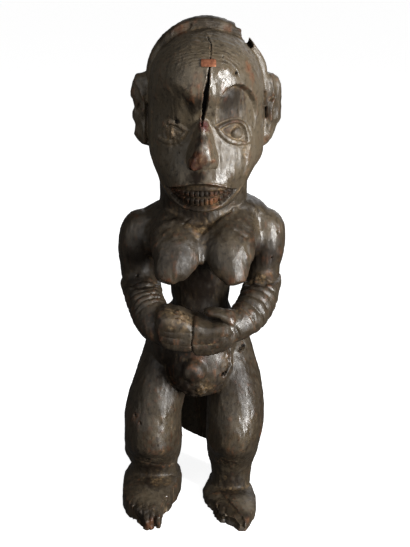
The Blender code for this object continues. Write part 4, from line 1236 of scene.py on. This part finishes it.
CROWN_MIDDLE = 0.44
# Near black for dark flecks and for the painted shade in hollows, then the colour of the painted shade in
# spots
BLACK_FLECK_AND_SHADE_WOOD = (0.004, 0.0025, 0.002, 1.0)
PAINTED_SHADE_WOOD = (0.0045, 0.0026, 0.0015, 1.0)
DARK_WOOD = (0.0090, 0.0060, 0.0033, 1.0)
HEAD_WOOD = (0.066, 0.050, 0.031, 1.0)
GREY_SKIN = (0.056, 0.045, 0.031, 1.0)
RED_WOOD = (0.075, 0.022, 0.009, 1.0)
ORANGE_WOOD = (0.20, 0.075, 0.028, 1.0)
DUST = (0.21, 0.14, 0.070, 1.0)
DARK_DUST = (0.075, 0.046, 0.022, 1.0)
RED_LUMP = (0.030, 0.006, 0.004, 1.0)


def wood_colour(n, streak, mottle, painted_shade, dust):
    """Dark skin, paler on the head, with grey patches, then painted shade, dark flecks, wear, dust, the red
    lump and painted shade in the hollows.
    """
    pale = n.marked("pale")
    cloud = n.math("MULTIPLY", n.noise(28.0, detail=5.0), 0.6)
    patchy = n.level(n.math("ADD", cloud, n.math("MULTIPLY", streak, 0.5)), 0.42, 0.68)
    # Grey patches, stronger where the skin is marked paler, which is partly painted light
    pale_and_lit = n.math("MULTIPLY", patchy, n.math("ADD", n.math("MULTIPLY", pale, 0.75), 0.2))
    # The head paler than the body, partly its own tone and partly painted light
    colour = n.blend(n.math("MULTIPLY", pale, 0.7), DARK_WOOD, HEAD_WOOD)
    colour = n.blend(pale_and_lit, colour, GREY_SKIN)
    # Painted shade in spots
    colour = n.blend(n.math("MULTIPLY", painted_shade, 0.9), colour, PAINTED_SHADE_WOOD)
    colour = n.blend(n.level(mottle, 0.50, 0.70, 0.0, 0.6), colour, BLACK_FLECK_AND_SHADE_WOOD)
    worn = n.math("MULTIPLY", n.marked("worn"), n.level(mottle, 0.25, 0.6, 0.4, 1.0))
    colour = n.blend(worn, colour, n.blend(n.level(streak, 0.4, 0.65), RED_WOOD, ORANGE_WOOD))
    colour = n.blend(dust, colour, n.blend(n.level(mottle, 0.4, 0.62), DARK_DUST, DUST))
    colour = n.blend(n.marked("red"), colour, RED_LUMP)
    # Painted shade, near black, in the split, the holes and the wide hollows
    return n.blend(n.marked("painted_hollow_shade"), colour, BLACK_FLECK_AND_SHADE_WOOD)


def wood_roughness(n, mottle, painted_shade, dust):
    """Glossy where hands polished the skin, matte in dust, in the painted shade and in the hollows."""
    gloss = n.level(n.noise(160.0, detail=5.0), 0.35, 0.68, 0.32, 0.52)
    polish = n.math("MULTIPLY", n.marked("polish"), n.level(mottle, 0.35, 0.6, 0.26, 0.15))
    matte = n.math("MAXIMUM", n.math("MAXIMUM", dust, n.marked("painted_hollow_shade")), n.math("MULTIPLY", painted_shade, 0.6))
    return n.math("ADD", n.math("SUBTRACT", gloss, polish), n.math("MULTIPLY", matte, 0.45))


def wood_bump(n, streak):
    """Grain, curved scraping on the crown and a fine crackle."""
    middle = n.place((1.0, 1.0, 1.0), (0.0, 0.0, -CROWN_MIDDLE))
    curves = n.add("ShaderNodeTexWave", {"wave_type": "RINGS", "rings_direction": "Y"}, Vector=middle,
                   Scale=120.0, Distortion=9.0, Detail=4.0, Detail_Scale=0.6).outputs["Fac"]
    grain = n.bump(streak, 0.5, 0.0008)
    scraping = n.bump(n.math("MULTIPLY", curves, n.marked("scraped")), 0.45, 0.0006, grain)
    return n.bump(n.noise(700.0, detail=4.0), 0.35, 0.0004, scraping)


def wood_material():
    """Old handled wood: a dark, glossy skin over brown wood, with dust in the cuts."""
    n = Nodes("handled_dark_wood")
    streak = n.noise(210.0, (1.0, 1.0, 0.2), detail=5.0, roughness=0.65)
    mottle = n.noise(240.0, detail=4.0)
    painted_shade = n.marked("painted_shade")
    dust = n.math("MULTIPLY", n.marked("dust"), n.level(n.noise(420.0, detail=3.0), 0.30, 0.62, 0.25, 1.0))
    n.feed(n.shader.inputs["Base Color"], wood_colour(n, streak, mottle, painted_shade, dust))
    n.feed(n.shader.inputs["Roughness"], wood_roughness(n, mottle, painted_shade, dust))
    n.feed(n.shader.inputs["Specular IOR Level"], n.math("SUBTRACT", 0.5, n.math("MULTIPLY", painted_shade, 0.40)))
    n.shader.inputs["IOR"].default_value = 1.36
    n.feed(n.shader.inputs["Normal"], wood_bump(n, streak))
    return n.material


BROWN_COPPER, COPPER, BRIGHT_COPPER = (0.10, 0.034, 0.018), (0.17, 0.066, 0.034), (0.23, 0.10, 0.054)


def copper_material():
    """Beaten copper with brown stains."""
    n = Nodes("beaten_copper")
    stain = n.noise(420.0, detail=5.0)
    colour = n.ramp(stain, (0.34, BROWN_COPPER), (0.56, COPPER), (0.78, BRIGHT_COPPER))
    n.feed(n.shader.inputs["Base Color"], colour)
    n.shader.inputs["Metallic"].default_value = 0.85
    n.feed(n.shader.inputs["Roughness"], n.level(stain, 0.35, 0.7, 0.66, 0.50))
    n.feed(n.shader.inputs["Normal"], n.bump(n.noise(700.0, detail=3.0), 0.3, 0.0003))
    return n.material


def floor_material():
    n = Nodes("pale_floor")
    n.shader.inputs["Base Color"].default_value = (0.5, 0.5, 0.5, 1.0)
    n.shader.inputs["Emission Color"].default_value = (1.0, 1.0, 1.0, 1.0)
    n.shader.inputs["Emission Strength"].default_value = 0.82
    n.shader.inputs["Roughness"].default_value = 0.9
    n.shader.inputs["Specular IOR Level"].default_value = 0.1
    return n.material


FLOOR_HALF = 30.0
FLOOR_DROP = 0.0004


def floor():
    """A plain pale floor, a hair below the soles."""
    mesh = bpy.data.meshes.new("floor")
    corners = [(-FLOOR_HALF, -FLOOR_HALF), (FLOOR_HALF, -FLOOR_HALF), (FLOOR_HALF, FLOOR_HALF),
               (-FLOOR_HALF, FLOOR_HALF)]
    mesh.from_pydata([(x, y, -FLOOR_DROP) for x, y in corners], [], [(0, 1, 2, 3)])
    thing = bpy.data.objects.new("floor", mesh)
    bpy.context.scene.collection.objects.link(thing)
    mesh.materials.append(floor_material())
    thing.visible_diffuse = False
    thing.visible_glossy = False


# Camera, in metres and degrees
LOOK_AT_Z = 0.2561
CAMERA_AWAY = 1.0
CAMERA_ELEVATION = 20.0
LENS = 61.93

# Lights: place, width and height in metres, watts, colour
LIGHTS = {
    "window": ((0.95, -0.85, 0.52), (0.24, 1.0), 62.0, (1.0, 0.995, 0.98)),
    "far_window": ((-1.1, -1.0, 0.9), (1.6, 1.6), 7.0, (0.96, 0.98, 1.0)),
    "back_window": ((0.5, 1.6, 0.9), (1.4, 1.4), 8.0, (0.97, 0.98, 1.0)),
}
AIM = Vector((0.0, 0.0, 0.3))
SKY_POWER, SKY_SPREAD, SKY_TILT = 1.4, 80.0, (50.0, 6.0, 0.0)
ROOM_LIGHT = 0.05


def facing(place, target):
    return (target - place).to_track_quat("-Z", "Y").to_matrix().to_4x4()


def camera(shift):
    """A view from the front and above, looking at the waist."""
    target = Vector((shift[0], shift[1], LOOK_AT_Z))
    lift = math.radians(CAMERA_ELEVATION)
    place = target + CAMERA_AWAY * Vector((0.0, -math.cos(lift), math.sin(lift)))
    data = bpy.data.cameras.new("camera")
    data.lens = LENS
    data.sensor_width = 36.0
    thing = bpy.data.objects.new("camera", data)
    thing.matrix_world = Matrix.Translation(place) @ facing(place, target)
    bpy.context.scene.collection.objects.link(thing)
    bpy.context.scene.camera = thing


def lights():
    for name, (place, size, watts, colour) in LIGHTS.items():
        data = bpy.data.lights.new(name, "AREA")
        data.shape = "RECTANGLE"
        data.size, data.size_y = size
        data.energy = watts
        data.color = colour
        thing = bpy.data.objects.new(name, data)
        thing.matrix_world = Matrix.Translation(place) @ facing(Vector(place), AIM)
        bpy.context.scene.collection.objects.link(thing)
    sky = bpy.data.lights.new("sky", "SUN")
    sky.energy = SKY_POWER
    sky.angle = math.radians(SKY_SPREAD)
    thing = bpy.data.objects.new("sky", sky)
    thing.rotation_euler = [math.radians(angle) for angle in SKY_TILT]
    bpy.context.scene.collection.objects.link(thing)


def surroundings():
    world = bpy.data.worlds.new("white studio")
    world.use_nodes = True
    background = world.node_tree.nodes["Background"]
    background.inputs["Color"].default_value = (1.0, 1.0, 1.0, 1.0)
    background.inputs["Strength"].default_value = ROOM_LIGHT
    bpy.context.scene.world = world
    bpy.context.scene.view_settings.view_transform = "Standard"


def dress(thing, node, material):
    thing.data.materials.clear()
    thing.data.materials.append(material)
    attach(thing, "root")
    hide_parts(node)


figure, moved = carved_figure()
dress(figure, "figure", wood_material())
dress(copper_strip(moved), "forehead_clip", copper_material())
floor()
camera(moved)
lights()
surroundings()
